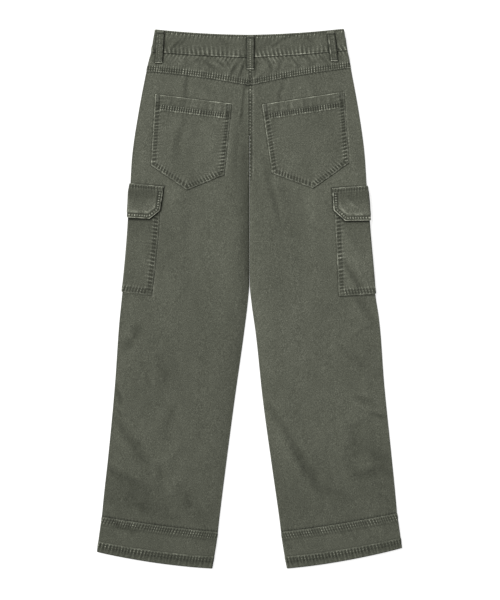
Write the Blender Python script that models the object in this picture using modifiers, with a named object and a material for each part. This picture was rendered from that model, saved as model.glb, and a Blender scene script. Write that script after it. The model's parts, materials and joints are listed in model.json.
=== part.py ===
"""Cargo trousers laid flat on their front, back side up.

Frame: +X to the wearer's right, +Y towards the waist, +Z up off the surface that they lie on.
The origin is under the middle of the garment's outline.

The garment is two flattened tubes, one for each leg, that join above the crotch. Each tube has a
back layer that lies on a front layer. Both run through the same cross-sections, which follow the
sewn seams, and every cloth piece is a stretch of those layers with a wall thickness. What is sewn
onto a panel is made from the panel's own points, moved out.
"""

import math
from collections import namedtuple

import bmesh
import bpy
import numpy as np
from mathutils import Vector

MM = 0.001

# ---------------------------------------------------------------- driving sizes, in millimetres
LENGTH = 1040.2  # waist corner to the lowest point of the hem
WALL = 1.4  # one layer of twill with its turnings
WAISTBAND_WALL = 2.4
FLAP_WALL = 1.8
LOOP_WALL = 1.8
BAND_WALL = 1.8
FLY_WALL = 1.2
ZIP_WALL = 1.0
GAP = 0.3  # between two pieces that touch or are sewn together
SEAM_INSET = 0.18  # each piece stops this far short of the seam line

LAYERS = 2 * WALL + GAP  # from the front's outer face to the back's, where they lie together
EDGE_AIR = 0.4  # what the turned cloth adds to that along an edge
ROLL = (LAYERS + EDGE_AIR) / 2  # radius of the cloth where it turns over a leg's edge
ROLL_STEPS = 2
COLUMNS = 14  # across a leg, between the two rolled edges
PLATEAU = 40.0  # the loft is full this far in from an edge
INNER_SWELL = 24.0  # the back swells most this far from the centre seam or inseam
OUTER_SWELL = 14.0  # and this far from the side seam,
OUTER_RISE = 0.8  # by this much there

YOKE_LIFT = 0.7  # the yoke is felled over the back panels
WAISTBAND_LIFT = 1.1
BAND_LIFT = 0.5  # the hem band laps over the leg
FOLD_LIFT = 0.5  # the turned-up hem is this much thicker
POCKET_LIFT = GAP + WALL
FLAP_LIFT = GAP + FLAP_WALL

BUTTON_RADIUS = 8.5
BUTTON_THICKNESS = 1.9

# One row for each cross-section. "down" is measured from the higher waist corner, along the
# garment. A section runs from the centre seam or inseam (inner) to the side seam (outer) of the
# left and the right leg. rows is how many rows of points reach from it to the next one, and bow is
# how far the middle of the section sags towards the hem. under is how far what is sewn to the
# front layer holds it off the surface, loft is the air between the two layers in the middle of a
# leg, and swell is how far the back layer rises beside the centre seam or inseam.
Section = namedtuple(
    "Section",
    "name rows inner_down left_down right_down left_outer right_outer left_inner right_inner "
    "bow under loft swell",
)
SECTIONS = [
    Section("waist_top", 2, 11.7, 1.3, 0.0, 181.1, 180.8, 0, 0, 2.3, 3.4, 0.2, 0.0),
    Section("waist_seam", 2, 55.6, 44.5, 42.0, 189.2, 188.7, 0, 0, 1.5, 3.4, 0.3, 0.0),
    Section("yoke_seam", 4, 109.1, 81.8, 75.3, 198.7, 195.4, 0, 0, -2.9, 1.0, 0.8, 0.3),
    Section("seat_top", 4, 187.7, 162.7, 158.8, 214.3, 210.8, 0, 0, -1.5, 0.0, 1.2, 0.8),
    Section("seat_low", 2, 272.4, 247.4, 245.4, 226.6, 222.5, 0, 0, 0.0, 0.0, 1.4, 2.4),
    Section("flap_top", 4, 324.4, 297.8, 301.6, 229.6, 226.0, 0, 0, 0.0, 0.0, 1.2, 3.2),
    Section("flap_low", 4, 391.0, 364.0, 369.6, 232.6, 230.4, 0, 0, 0.0, 0.0, 1.2, 4.0),
    Section("crotch", 2, 491.8, 466.8, 467.8, 240.8, 238.9, 0, 0, 0.0, 0.0, 1.4, 4.4),
    Section("pocket_low", 2, 532.2, 507.2, 510.3, 245.0, 242.6, 3.6, 4.2, 0.0, 0.0, 1.4, 4.2),
    Section("thigh", 6, 580.4, 555.4, 553.4, 250.1, 249.3, 9.6, 11.0, 0.0, 0.0, 1.4, 3.8),
    Section("knee", 6, 715.1, 690.1, 688.2, 259.9, 260.3, 28.5, 25.6, 0.0, 0.0, 1.4, 2.4),
    Section("shin", 4, 849.9, 822.9, 819.1, 272.4, 273.7, 46.2, 44.1, 0.0, 0.0, 1.2, 1.2),
    Section("ankle", 1, 942.0, 912.4, 906.6, 282.2, 282.4, 57.6, 57.2, 1.5, 0.0, 0.8, 0.6),
    Section("band_seam", 2, 969.6, 939.6, 933.1, 284.7, 284.7, 60.8, 60.8, 2.3, 1.05, 0.5, 0.3),
    Section("hem_fold", 1, 1017.4, 988.3, 981.2, 291.1, 291.1, 68.1, 68.3, 4.0, 1.05, 0.5, 0.2),
    Section("hem", 0, 1040.2, 1008.3, 1000.8, 293.4, 293.4, 72.4, 73.0, 4.6, 1.05, 0.5, 0.2),
]

# The largest folds of the back layer. Each is a soft trough between two low ridges.
Fold = namedtuple("Fold", "x1 down1 x2 down2 width depth")
FOLDS = [
    Fold(-119, 95, -125, 249, 14, 1.4),
    Fold(65, 107, 61, 150, 13, 1.2),
    Fold(23, 245, 54, 361, 14, 1.4),
    Fold(204, 518, 231, 548, 14, 1.6),
    Fold(-216, 580, -235, 611, 18, 1.8),
    Fold(-142, 715, -166, 881, 18, 1.8),
    Fold(-262, 745, -198, 831, 16, 2.8),
    Fold(-235, 904, -139, 940, 15, 1.4),
    Fold(200, 630, 243, 665, 15, 1.8),
    Fold(208, 711, 243, 725, 14, 2.0),
    Fold(185, 784, 235, 761, 17, 2.0),
    Fold(40, 730, 139, 885, 17, 3.2),
    Fold(139, 885, 204, 908, 15, 1.8),
    Fold(196, 869, 260, 858, 16, 1.8),
]

# Outlines, as (x, down) corners in order round the piece. Each is convex.
BACK_POCKETS = {
    "left": [(-181.1, 126.3), (-34.7, 144.6), (-48.5, 281.2), (-120.7, 310.3), (-189.6, 262.8)],
    "right": [(24.6, 146.1), (181.7, 121.7), (191.7, 258.1), (122.8, 307.2), (43.5, 278.2)],
}
POCKET_HEM = 21.0  # the turned top of a back pocket
POCKET_HEM_LIFT = 0.6

# A cargo pocket wraps round the side seam. Its two inner edges and those of its flap are lines
# from (x, down) at the top to (x, down) at the bottom, on the back and on the front layer.
Cargo = namedtuple("Cargo", "pocket_back pocket_front mouth bottom flap_back flap_front flap_top")
CARGO = {
    "left": Cargo(
        pocket_back=[(-174.6, 361.9), (-188.3, 513.6)],
        pocket_front=[(-156.0, 361.9), (-168.5, 513.6)],
        mouth=[(-228.5, 316.8), (-165.0, 323.2)],
        bottom=[(-244.9, 507.0), (-188.3, 513.6)],
        flap_back=[(-165.0, 304.2), (-172.5, 350.5), (-192.1, 366.3), (-233.7, 363.4)],
        flap_front=[(-152.0, 304.2), (-155.0, 350.5), (-174.0, 366.3), (-233.7, 363.4)],
        flap_top=[(-228.5, 297.8), (-165.0, 304.2)],
    ),
    "right": Cargo(
        pocket_back=[(165.4, 355.5), (172.5, 515.1)],
        pocket_front=[(164.0, 355.5), (174.0, 515.1)],
        mouth=[(227.3, 321.0), (159.4, 326.6)],
        bottom=[(243.3, 510.3), (172.5, 515.1)],
        flap_back=[(159.4, 307.6), (162.1, 350.0), (184.2, 370.2), (232.2, 369.4)],
        flap_front=[(156.0, 307.6), (158.0, 350.0), (178.0, 370.2), (232.2, 369.4)],
        flap_top=[(227.3, 302.0), (159.4, 307.6)],
    ),
}
CARGO_REACH = 94.0  # the front layer is lifted this far in from the side seam, over a cargo pocket
CARGO_FADE = 34.0
REST = 0.1  # what is sewn to the front clears the surface by this much
FLAP_STAND = 0.9  # how far the lower edge of a flap stands off its pocket

Loop = namedtuple("Loop", "name layer x_top down_top x_low down_low")
LOOPS = [
    Loop("belt_loop_back_left", "back", -170.7, 3.6, -174.4, 65.8),
    Loop("belt_loop_back_centre", "back", 1.8, 12.4, 1.8, 78.2),
    Loop("belt_loop_back_right", "back", 156.0, 5.2, 163.5, 62.8),
    Loop("belt_loop_front_left", "front", -96.0, 9.6, -98.0, 70.0),
    Loop("belt_loop_front_right", "front", 96.0, 9.6, 98.0, 70.0),
]
LOOP_WIDTH = 14.0
LOOP_ARCH = 1.4  # how far a back loop stands off the middle of the waistband

FLY_WIDTH = 36.0
FLY_DOWN = 222.0  # the lowest point of the curved fly
FLY_CORNER = 26.0
FLY_CORNER_CUTS = 4
FLY_FADE = 34.0
ZIP_WIDTH = 24.0
ZIP_TOP = 60.0
ZIP_LOW = 206.0
WAISTBAND_END = 15.0  # the left end of the front waistband laps past the centre by this much
BUTTON_X = 4.0
BUTTON_DOWN = 34.0

CLOTH_COLOUR = (0.105, 0.109, 0.084, 1.0)
SEWN_ON_COLOUR = (0.116, 0.120, 0.094, 1.0)
METAL_COLOUR = (0.20, 0.19, 0.17, 1.0)

SIDES = {"left": -1, "right": 1}


# ---------------------------------------------------------------- scene and materials
def clear_scene():
    """Removes whatever the file holds at the start."""
    for old in list(bpy.data.objects):
        bpy.data.objects.remove(old, do_unlink=True)


def material(name, colour, roughness, metallic=0.0):
    """A plain Principled material."""
    made = bpy.data.materials.new(name)
    made.use_nodes = True
    shader = made.node_tree.nodes["Principled BSDF"]
    shader.inputs["Base Color"].default_value = colour
    shader.inputs["Roughness"].default_value = roughness
    shader.inputs["Metallic"].default_value = metallic
    return made


def add_piece(name, bm, finish, collection, parent):
    """Makes the bmesh an object of the garment, placed by the middle of its own outline."""
    bmesh.ops.recalc_face_normals(bm, faces=bm.faces)
    x, y = ([vertex.co[axis] for vertex in bm.verts] for axis in (0, 1))
    middle = Vector(((min(x) + max(x)) / 2, (min(y) + max(y)) / 2, 0))
    bmesh.ops.translate(bm, vec=-middle, verts=bm.verts)
    mesh = bpy.data.meshes.new(name)
    bm.to_mesh(mesh)
    bm.free()
    mesh.shade_smooth()
    mesh.set_sharp_from_angle(angle=math.radians(40))
    mesh.materials.append(finish)
    piece = bpy.data.objects.new(name, mesh)
    piece.location = middle
    piece.parent = parent
    collection.objects.link(piece)


# ---------------------------------------------------------------- the two layers of cloth
def column_of(field):
    """One column of the section table."""
    return np.array([getattr(section, field) for section in SECTIONS], float)


def smooth(field, s):
    """A column of the section table at row positions s, as a smooth curve through its values."""
    values, at = column_of(field), column_of("inner_down")
    slopes = np.gradient(values, at)
    low = np.clip(np.floor(s).astype(int), 0, len(SECTIONS) - 2)
    t, span = s - low, at[low + 1] - at[low]
    a, b = values[low], values[low + 1]
    down, up = slopes[low] * span, slopes[low + 1] * span
    return (
        a * (2 * t**3 - 3 * t**2 + 1)
        + down * (t**3 - 2 * t**2 + t)
        + b * (3 * t**2 - 2 * t**3)
        + up * (t**3 - t**2)
    )


def row_positions():
    """Where the rows of points are, counted in sections, and the row of each named section."""
    positions, row_of = [], {}
    for number, section in enumerate(SECTIONS):
        row_of[section.name] = len(positions)
        positions += [number + k / max(section.rows, 1) for k in range(max(section.rows, 1))]
    return np.array(positions), row_of


S, ROW = row_positions()


def across(width):
    """Distances from the inner edge for each column, and how far each edge's roll has turned."""
    turn = np.linspace(0, math.pi / 2, ROLL_STEPS + 1)
    rolled = ROLL * (1 - np.cos(turn))
    inside = np.linspace(ROLL, width - ROLL, COLUMNS + 1)[1:-1]
    reach = np.concatenate([rolled, inside, width - rolled[::-1]])
    flat = np.ones(len(inside))
    inner = np.concatenate([np.sin(turn), flat, np.ones(len(turn))])
    outer = np.concatenate([np.ones(len(turn)), flat, np.sin(turn[::-1])])
    return reach, inner, outer


def folded(x, down):
    """How far the folds raise or lower the back layer at these places."""
    height = np.zeros_like(x)
    for fold in FOLDS:
        along = np.array([fold.x2 - fold.x1, fold.down2 - fold.down1], float)
        length = np.hypot(*along)
        along /= length
        t = (x - fold.x1) * along[0] + (down - fold.down1) * along[1]
        off = (x - fold.x1) * along[1] - (down - fold.down1) * along[0]
        past = np.maximum(np.maximum(-t, t - length), 0.0)
        off, past = (off / fold.width) ** 2, (past / fold.width) ** 2
        height -= fold.depth * (1 - 2 * off) * np.exp(-off - past)
    return height


def ramp(distance, fade):
    """1 up to a distance of 0, falling smoothly to 0 at fade."""
    t = np.clip(1 - distance / fade, 0.0, 1.0)
    return t * t * (3 - 2 * t)


def swell(reach, peak):
    """A rise that starts at an edge, is 1 at its peak and dies away past it."""
    t = np.maximum(reach - ROLL, 0) / peak
    return t * np.exp(1 - t)


def cargo_lift(rows):
    """How far the cargo pocket and its flap hold the front layer off the surface, row by row."""
    flap_top, flap_low, pocket_low = ROW["flap_top"], ROW["flap_low"], ROW["pocket_low"]
    at = [flap_top - 1, flap_top, flap_top + 1, flap_low, flap_low + 1, pocket_low, pocket_low + 1]
    both = POCKET_LIFT + FLAP_LIFT
    lifts = np.array([0, FLAP_LIFT, both, both, POCKET_LIFT, POCKET_LIFT, 0])
    return np.interp(rows, at, np.where(lifts > 0, lifts + REST, 0))


def fly_shape(x, down, reach):
    """1 over the fly or the zip, falling to 0 around it."""
    return ramp(np.abs(x) - reach, FLY_FADE) * ramp(down - FLY_DOWN, FLY_FADE)


class Half:
    """The back and front layers of one leg, from the waist to the hem, as grids of points."""

    def __init__(self, side):
        self.side = side
        self.sign = SIDES[side]
        rows = np.arange(len(S))
        joined = rows < ROW["crotch"]
        inner_x = np.maximum(smooth(f"{side}_inner", S), SEAM_INSET)
        inner_x = np.where(joined, 0.0, inner_x)
        width = smooth(f"{side}_outer", S) - inner_x
        turned = [across(w) for w in width]
        self.reach = np.array([reach for reach, _, _ in turned])
        inner_turn = np.array([inner for _, inner, _ in turned])
        outer_turn = np.array([outer for _, _, outer in turned])
        inner_turn[joined] = 1.0

        share = self.reach / width[:, None]
        inner_down, outer_down = smooth("inner_down", S), smooth(f"{side}_down", S)
        sag = 4 * smooth("bow", S)[:, None] * share * (1 - share)
        down = inner_down[:, None] + (outer_down - inner_down)[:, None] * share + sag
        x = self.sign * (inner_x[:, None] + self.reach)

        front_z = self.front_level(x, down, width)
        back_z = front_z + LAYERS + self.air(x, down, width)
        layers = []
        for level in (back_z, front_z):
            middle = (front_z + back_z) / 2
            z = middle + (level - middle) * inner_turn * outer_turn
            layers.append(np.stack([x, LENGTH / 2 - down, z], axis=2))
        self.back, self.front = layers
        self.set_normals(joined)

    def front_level(self, x, down, width):
        """The height of the front layer's outer face."""
        rows = np.arange(len(S))[:, None]
        under = np.maximum(smooth("under", S), 0.0)[:, None]
        near = ramp(width[:, None] - self.reach - CARGO_REACH, CARGO_FADE)
        fly = GAP + FLY_WALL + REST
        reach = FLY_WIDTH + FLY_FADE / 2 if self.side == "left" else 0.0
        level = np.maximum(cargo_lift(rows) * near, fly * fly_shape(x, down, reach))
        return np.maximum(under, level)

    def air(self, x, down, width):
        """How far apart the two layers are, past where they lie together."""
        loft, rise = smooth("loft", S)[:, None], smooth("swell", S)[:, None]
        outer = np.maximum(width[:, None] - self.reach, 0.0)
        plateau = (1 - ramp(self.reach - ROLL, PLATEAU)) * (1 - ramp(outer - ROLL, PLATEAU))
        soft = (loft + folded(x, down)) * plateau
        soft = soft + rise * swell(self.reach, INNER_SWELL) + OUTER_RISE * swell(outer, OUTER_SWELL)
        zip_room = (ZIP_WALL + GAP) * fly_shape(x, down, ZIP_WIDTH / 2 + FLY_FADE / 3)
        return np.maximum(soft, zip_room) + EDGE_AIR

    def set_normals(self, joined):
        """Outward directions at every point, taken over the whole tube, so that neighbours agree."""
        loop = np.concatenate([self.back, self.front[:, -2::-1]], axis=1)
        before = np.concatenate([loop[:, -2:-1], loop[:, :-1]], axis=1)
        after = np.concatenate([loop[:, 1:], loop[:, 1:2]], axis=1)
        round_it = after - before
        # above the crotch the tube is open at the centre seam, where it meets the other half
        round_it[joined, 0] = loop[joined, 1] - loop[joined, 0]
        round_it[joined, -1] = loop[joined, -1] - loop[joined, -2]
        normal = self.sign * np.cross(np.gradient(loop, axis=0), round_it)
        normal[joined, 0, 0] = 0
        normal[joined, -1, 0] = 0
        normal /= np.linalg.norm(normal, axis=2, keepdims=True)
        count = self.back.shape[1]
        self.back_normal = normal[:, :count]
        self.front_normal = normal[:, count - 1 :][:, ::-1]

    def block(self, layer, first, last, start=0, stop=None):
        """The points and outward directions of a stretch of one layer, with both end rows."""
        points = self.back if layer == "back" else self.front
        normals = self.back_normal if layer == "back" else self.front_normal
        cut = (slice(first, last + 1), slice(start, stop))
        return points[cut].copy(), normals[cut].copy(), layer


def inset(points, left=True, right=True, top=True, low=True, by=SEAM_INSET):
    """Draws the edges of a block in, so that a seam's two pieces stay apart."""

    def step(edge, inside):
        towards = inside - edge
        return edge + by * towards / np.linalg.norm(towards, axis=-1, keepdims=True)

    if left:
        points[:, 0] = step(points[:, 0], points[:, 1])
    if right:
        points[:, -1] = step(points[:, -1], points[:, -2])
    if top:
        points[0] = step(points[0], points[1])
    if low:
        points[-1] = step(points[-1], points[-2])
    return points


# ---------------------------------------------------------------- cloth pieces
class Cloth:
    """An open surface of triangles with an outward direction at each point, to cut and thicken."""

    def __init__(self, blocks, lifts=(0.0, 0.0)):
        self.bm = bmesh.new()
        self.normal = self.bm.verts.layers.float_vector.new("outward")
        self.lift = self.bm.verts.layers.float.new("lift")
        self.extra = self.bm.verts.layers.float.new("extra")
        self.layer = self.bm.faces.layers.int.new("layer")
        for block, lift in zip(blocks, lifts):
            self.add_block(*block, lift)
        bmesh.ops.remove_doubles(self.bm, verts=self.bm.verts, dist=0.001)

    def add_block(self, points, normals, layer, lift):
        """Adds one grid of points, each cell as two triangles."""
        rows, columns = points.shape[:2]
        lifts = np.broadcast_to(lift, (rows, columns)).ravel()
        grid = bmesh.ops.create_grid(self.bm, x_segments=columns - 1, y_segments=rows - 1, size=1)
        vertices = sorted(grid["verts"], key=lambda v: (round(v.co.y, 4), round(v.co.x, 4)))
        faces = list({face for vertex in vertices for face in vertex.link_faces})
        for face in faces:
            face[self.layer] = layer == "back"
        for vertex, place, outward, height in zip(
            vertices, points.reshape(-1, 3), normals.reshape(-1, 3), lifts
        ):
            vertex.co = place
            vertex[self.normal] = outward
            vertex[self.lift] = height
        bmesh.ops.triangulate(self.bm, faces=faces, quad_method="FIXED")

    def part(self, layer):
        """The faces, edges and vertices of one layer, or all of them."""
        faces = [f for f in self.bm.faces if layer is None or f[self.layer] == (layer == "back")]
        edges = {e for f in faces for e in f.edges}
        return faces + list(edges) + list({v for e in edges for v in e.verts})

    def cut(self, start, end, keep, layer=None, clear=True):
        """Cuts along the line between two (x, down) places and keeps the side where keep lies."""
        first = Vector((start[0], LENGTH / 2 - start[1], 0))
        along = Vector((end[0], LENGTH / 2 - end[1], 0)) - first
        outward = Vector((along.y, -along.x, 0)).normalized()
        inside = Vector((keep[0], LENGTH / 2 - keep[1], 0)) - first
        if inside.dot(outward) > 0:
            outward.negate()
        bmesh.ops.bisect_plane(
            self.bm,
            geom=self.part(layer),
            dist=0.0001,
            plane_co=first,
            plane_no=outward,
            clear_outer=clear,
        )
        bmesh.ops.triangulate(self.bm, faces=[f for f in self.bm.faces if len(f.verts) > 3])

    def trim(self, corners):
        """Cuts the surface to a convex outline."""
        middle = np.mean(corners, axis=0)
        for start, end in zip(corners, corners[1:] + corners[:1]):
            self.cut(start, end, middle)

    def fold_over(self, start, end, keep, by, step=1.0):
        """Makes the wall thicker by a small step, on the side of a line where keep lies."""
        start, end = np.array(start, float), np.array(end, float)
        along = (end - start) / np.hypot(*(end - start))
        over = np.array([-along[1], along[0]])
        over *= np.sign(over @ (np.array(keep, float) - start))
        for offset in (0.0, step):
            self.cut(start + over * offset, end + over * offset, keep, clear=False)
        for vertex in self.bm.verts:
            beyond = (np.array([vertex.co.x, LENGTH / 2 - vertex.co.y]) - start) @ over
            vertex[self.extra] = by * float(np.clip(beyond / step, 0, 1))

    def thicken(self, wall, under=0.0):
        """Closes the surface into a wall: under is how far its inner face lies under lift."""
        bm = self.bm
        made = bmesh.ops.extrude_face_region(bm, geom=bm.faces, use_keep_orig=True)
        outer = {item for item in made["geom"] if isinstance(item, bmesh.types.BMVert)}
        for vertex in bm.verts:
            height = vertex[self.lift] - under
            if vertex in outer:
                height += wall + vertex[self.extra]
            vertex.co += Vector(vertex[self.normal]) * height
        bmesh.ops.triangulate(bm, faces=bm.faces)
        bmesh.ops.scale(bm, vec=(MM, MM, MM), verts=bm.verts)
        return bm


# ---------------------------------------------------------------- the pieces
def leg_panels(half, add):
    """Back and front panel of one leg, with the back's yoke above it."""
    seam, yoke, band = ROW["waist_seam"], ROW["yoke_seam"], ROW["band_seam"]
    for name, layer, first, last, lift in (
        ("yoke", "back", seam, yoke, YOKE_LIFT),
        ("back", "back", yoke, band, 0.0),
        ("front", "front", seam, band, 0.0),
    ):
        points, normals, part = half.block(layer, first, last)
        cloth = Cloth([(inset(points), normals, part)], [lift])
        add(f"{name}_{half.side}", cloth.thicken(WALL, WALL))


def hem_bands(half, add):
    """The band round the hem, a back and a front piece, each thicker where its hem turns up."""
    first, fold, last = ROW["band_seam"], ROW["hem_fold"], ROW["hem"]
    for layer in ("back", "front"):
        points, normals, part = half.block(layer, first, last)
        inner, outer, hem = points[fold - first, 0], points[fold - first, -1], points[-1, 0]
        start, end, keep = ((p[0], LENGTH / 2 - p[1]) for p in (inner, outer, hem))
        cloth = Cloth([(inset(points), normals, part)], [BAND_LIFT])
        cloth.fold_over(start, end, keep, FOLD_LIFT)
        add(f"hem_band_{layer}_{half.side}", cloth.thicken(BAND_WALL, BAND_WALL))


def waistband(halves, add):
    """The waistband: one piece across the back and two in front, which meet past the centre."""
    last = ROW["waist_seam"]
    for layer in ("back", "front"):
        blocks = [half.block(layer, 0, last) for half in halves.values()]
        for points, _, _ in blocks:
            inset(points, left=False, top=False)
        if layer == "back":
            cloth = Cloth(blocks, [WAISTBAND_LIFT] * 2)
            add("waistband_back", cloth.thicken(WAISTBAND_WALL, WAISTBAND_WALL))
            continue
        for side, sign in SIDES.items():
            cloth = Cloth(blocks, [WAISTBAND_LIFT] * 2)
            end = WAISTBAND_END + sign * SEAM_INSET
            cloth.cut((end, 0), (end, 100), (end + sign * 50, 0))
            add(f"waistband_front_{side}", cloth.thicken(WAISTBAND_WALL, WAISTBAND_WALL))


def back_pocket(half, add):
    """A five-sided patch pocket with a turned top."""
    corners = BACK_POCKETS[half.side]
    cloth = Cloth([half.block("back", ROW["yoke_seam"], ROW["flap_low"])], [GAP])
    cloth.trim(corners)
    start, end = np.array(corners[0]), np.array(corners[1])
    hem = np.array([0.0, POCKET_HEM])
    cloth.fold_over(start + hem, end + hem, start - hem, POCKET_HEM_LIFT)
    add(f"back_pocket_{half.side}", cloth.thicken(WALL))


def wrapped(half, first, last):
    """The blocks of both layers near the side seam, between two rows."""
    return [half.block(layer, first, last, COLUMNS // 2) for layer in ("back", "front")]


def cargo_pocket(half, add):
    """The patch pocket on the thigh, wrapped round the side seam."""
    sizes, outside = CARGO[half.side], (half.sign * 260.0, 420.0)
    cloth = Cloth(wrapped(half, ROW["flap_top"] - 1, ROW["pocket_low"] + 1), [GAP, GAP])
    cloth.cut(*sizes.mouth, outside)
    cloth.cut(*sizes.bottom, outside)
    cloth.cut(*sizes.pocket_back, outside, layer="back")
    cloth.cut(*sizes.pocket_front, outside, layer="front")
    add(f"cargo_pocket_{half.side}", cloth.thicken(WALL))


def cargo_flap(half, add):
    """The flap over a cargo pocket's mouth, sewn down along its top and loose below."""
    sizes, middle = CARGO[half.side], (half.sign * 232.0, 340.0)
    top, low = ROW["flap_top"], ROW["flap_low"]
    first, last = top - 1, low + 1
    rows = np.arange(first, last + 1)
    lifts = np.where(rows <= top, GAP, POCKET_LIFT + GAP)[:, None]
    loose = np.interp(rows, [top, low], [0, FLAP_STAND])[:, None]
    count = COLUMNS + 2 * ROLL_STEPS + 1 - COLUMNS // 2
    from_side = np.minimum(np.arange(count)[::-1] / (ROLL_STEPS + 2), 1.0)
    flap = Cloth(wrapped(half, first, last), [lifts + loose * from_side, lifts])
    flap.cut(*sizes.flap_top, middle)
    for layer, corners in (("back", sizes.flap_back), ("front", sizes.flap_front)):
        for start, end in zip(corners, corners[1:]):
            flap.cut(start, end, middle, layer=layer)
    add(f"cargo_flap_{half.side}", flap.thicken(FLAP_WALL))


def belt_loop(halves, loop, add):
    """A strip over the waistband, from its top edge to below its seam."""
    back = loop.layer == "back"
    blocks = [half.block(loop.layer, 0, ROW["yoke_seam"]) for half in halves.values()]
    over, beside = WAISTBAND_LIFT + GAP, (YOKE_LIFT if back else 0.0) + GAP
    arch = LOOP_ARCH if back else 0.0
    lifts = [over, over + arch, over + arch / 2]
    lifts += [beside] * (ROW["yoke_seam"] + 1 - len(lifts))
    cloth = Cloth(blocks, [np.array(lifts)[:, None]] * 2)
    wide = LOOP_WIDTH / 2
    top, low = (loop.x_top, loop.down_top), (loop.x_low, loop.down_low)
    ends = [(top[0] - wide, top[1]), (top[0] + wide, top[1])]
    cloth.trim(ends + [(low[0] + wide, low[1]), (low[0] - wide, low[1])])
    add(loop.name, cloth.thicken(LOOP_WALL))


def fly(half, add):
    """The strip over the front opening, with a curved lower corner."""
    cloth = Cloth([half.block("front", ROW["waist_seam"], ROW["seat_low"])], [GAP])
    corner = []
    for turn in np.linspace(0, math.pi / 2, FLY_CORNER_CUTS + 1):
        x = FLY_CORNER * (1 - math.cos(turn)) - FLY_WIDTH
        corner.append((x, FLY_DOWN - FLY_CORNER * (1 - math.sin(turn))))
    outline = [(-SEAM_INSET, 60.0), (-FLY_WIDTH, 58.0)] + corner + [(-SEAM_INSET, FLY_DOWN)]
    cloth.trim(outline)
    add("fly", cloth.thicken(FLY_WALL))


def zip_tape(halves, add):
    """The closed zip, inside the front along the centre seam."""
    blocks = [half.block("front", ROW["waist_seam"], ROW["flap_top"]) for half in halves.values()]
    cloth = Cloth(blocks, [-WALL - GAP] * 2)
    wide = ZIP_WIDTH / 2
    cloth.trim([(-wide, ZIP_TOP), (wide, ZIP_TOP), (wide, ZIP_LOW), (-wide, ZIP_LOW)])
    add("zip", cloth.thicken(ZIP_WALL, ZIP_WALL))


def waist_button(finish, collection, parent):
    """The button, which the front waistband rests on."""
    bpy.ops.mesh.primitive_cylinder_add(
        vertices=28,
        radius=BUTTON_RADIUS * MM,
        depth=BUTTON_THICKNESS * MM,
        location=(
            BUTTON_X * MM,
            (LENGTH / 2 - BUTTON_DOWN) * MM,
            BUTTON_THICKNESS / 2 * MM,
        ),
    )
    button = bpy.context.object
    button.name = "waist_button"
    button.parent = parent
    bevel = button.modifiers.new("rounded_rim", "BEVEL")
    bevel.width = 0.5 * MM
    bevel.segments = 2
    button.data.materials.append(finish)
    for owner in list(button.users_collection):
        owner.objects.unlink(button)
    collection.objects.link(button)


def main():
    """Builds every piece of the trousers."""
    clear_scene()
    trousers = bpy.data.collections.new("cargo_trousers")
    bpy.context.scene.collection.children.link(trousers)
    ground = bpy.data.objects.new("cargo_trousers_ground", None)
    trousers.objects.link(ground)
    halves = {side: Half(side) for side in SIDES}

    def add_cloth(name, bm):
        """Adds a cloth piece with a material of its own."""
        panels = ("back_left", "back_right", "front_left", "front_right")
        colour = CLOTH_COLOUR if name in panels else SEWN_ON_COLOUR
        add_piece(name, bm, material(f"twill_{name}", colour, 0.9), trousers, ground)

    for half in halves.values():
        leg_panels(half, add_cloth)
        hem_bands(half, add_cloth)
        back_pocket(half, add_cloth)
        cargo_pocket(half, add_cloth)
        cargo_flap(half, add_cloth)
    waistband(halves, add_cloth)
    for loop in LOOPS:
        belt_loop(halves, loop, add_cloth)
    fly(halves["left"], add_cloth)
    zip_tape(halves, add_cloth)
    waist_button(material("button_metal", METAL_COLOUR, 0.45, 1.0), trousers, ground)


main()
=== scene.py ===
"""Cargo trousers laid flat on their front: cloth, sewing, metal, light and camera.

Sizes are millimetres until a mesh is made. X points to the wearer's right leg, Y to the waist and Z
up off the surface. "down" is measured from the higher waist corner towards the hem.

The garment is two flattened tubes of cloth, one for each leg, that are joined above the crotch. A
Leg gives the height of both layers anywhere, and every piece is a fine grid of places on a layer,
which becomes a closed wall with its own puckers, folded edges, rubbed dye and painted shade.
"""

import json
import logging
import math
from collections.abc import Callable, Sequence
from dataclasses import dataclass, field
from enum import Enum

import bmesh
import bpy
import numpy as np
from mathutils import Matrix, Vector
from mathutils.bvhtree import BVHTree

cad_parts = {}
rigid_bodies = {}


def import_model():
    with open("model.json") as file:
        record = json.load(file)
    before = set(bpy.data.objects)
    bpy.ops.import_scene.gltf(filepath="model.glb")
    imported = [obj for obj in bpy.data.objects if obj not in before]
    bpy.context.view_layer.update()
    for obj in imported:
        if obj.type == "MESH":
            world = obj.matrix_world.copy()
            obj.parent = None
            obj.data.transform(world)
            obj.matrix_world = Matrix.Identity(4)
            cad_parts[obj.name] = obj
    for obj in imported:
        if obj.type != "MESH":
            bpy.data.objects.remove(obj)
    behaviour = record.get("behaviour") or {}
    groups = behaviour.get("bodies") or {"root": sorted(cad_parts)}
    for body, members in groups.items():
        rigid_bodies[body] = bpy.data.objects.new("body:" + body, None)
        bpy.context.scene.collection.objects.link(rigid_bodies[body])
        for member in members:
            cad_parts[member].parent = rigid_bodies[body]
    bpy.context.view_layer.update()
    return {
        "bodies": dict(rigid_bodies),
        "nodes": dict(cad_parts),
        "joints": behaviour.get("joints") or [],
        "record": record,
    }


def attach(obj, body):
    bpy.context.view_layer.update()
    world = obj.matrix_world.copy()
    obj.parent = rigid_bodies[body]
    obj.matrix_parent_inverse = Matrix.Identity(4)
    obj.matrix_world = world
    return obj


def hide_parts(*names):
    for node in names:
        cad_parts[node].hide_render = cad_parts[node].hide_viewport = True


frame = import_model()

log = logging.getLogger("cargo_trousers")

MM = 0.001
SHARP_ANGLE = math.radians(55)

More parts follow.
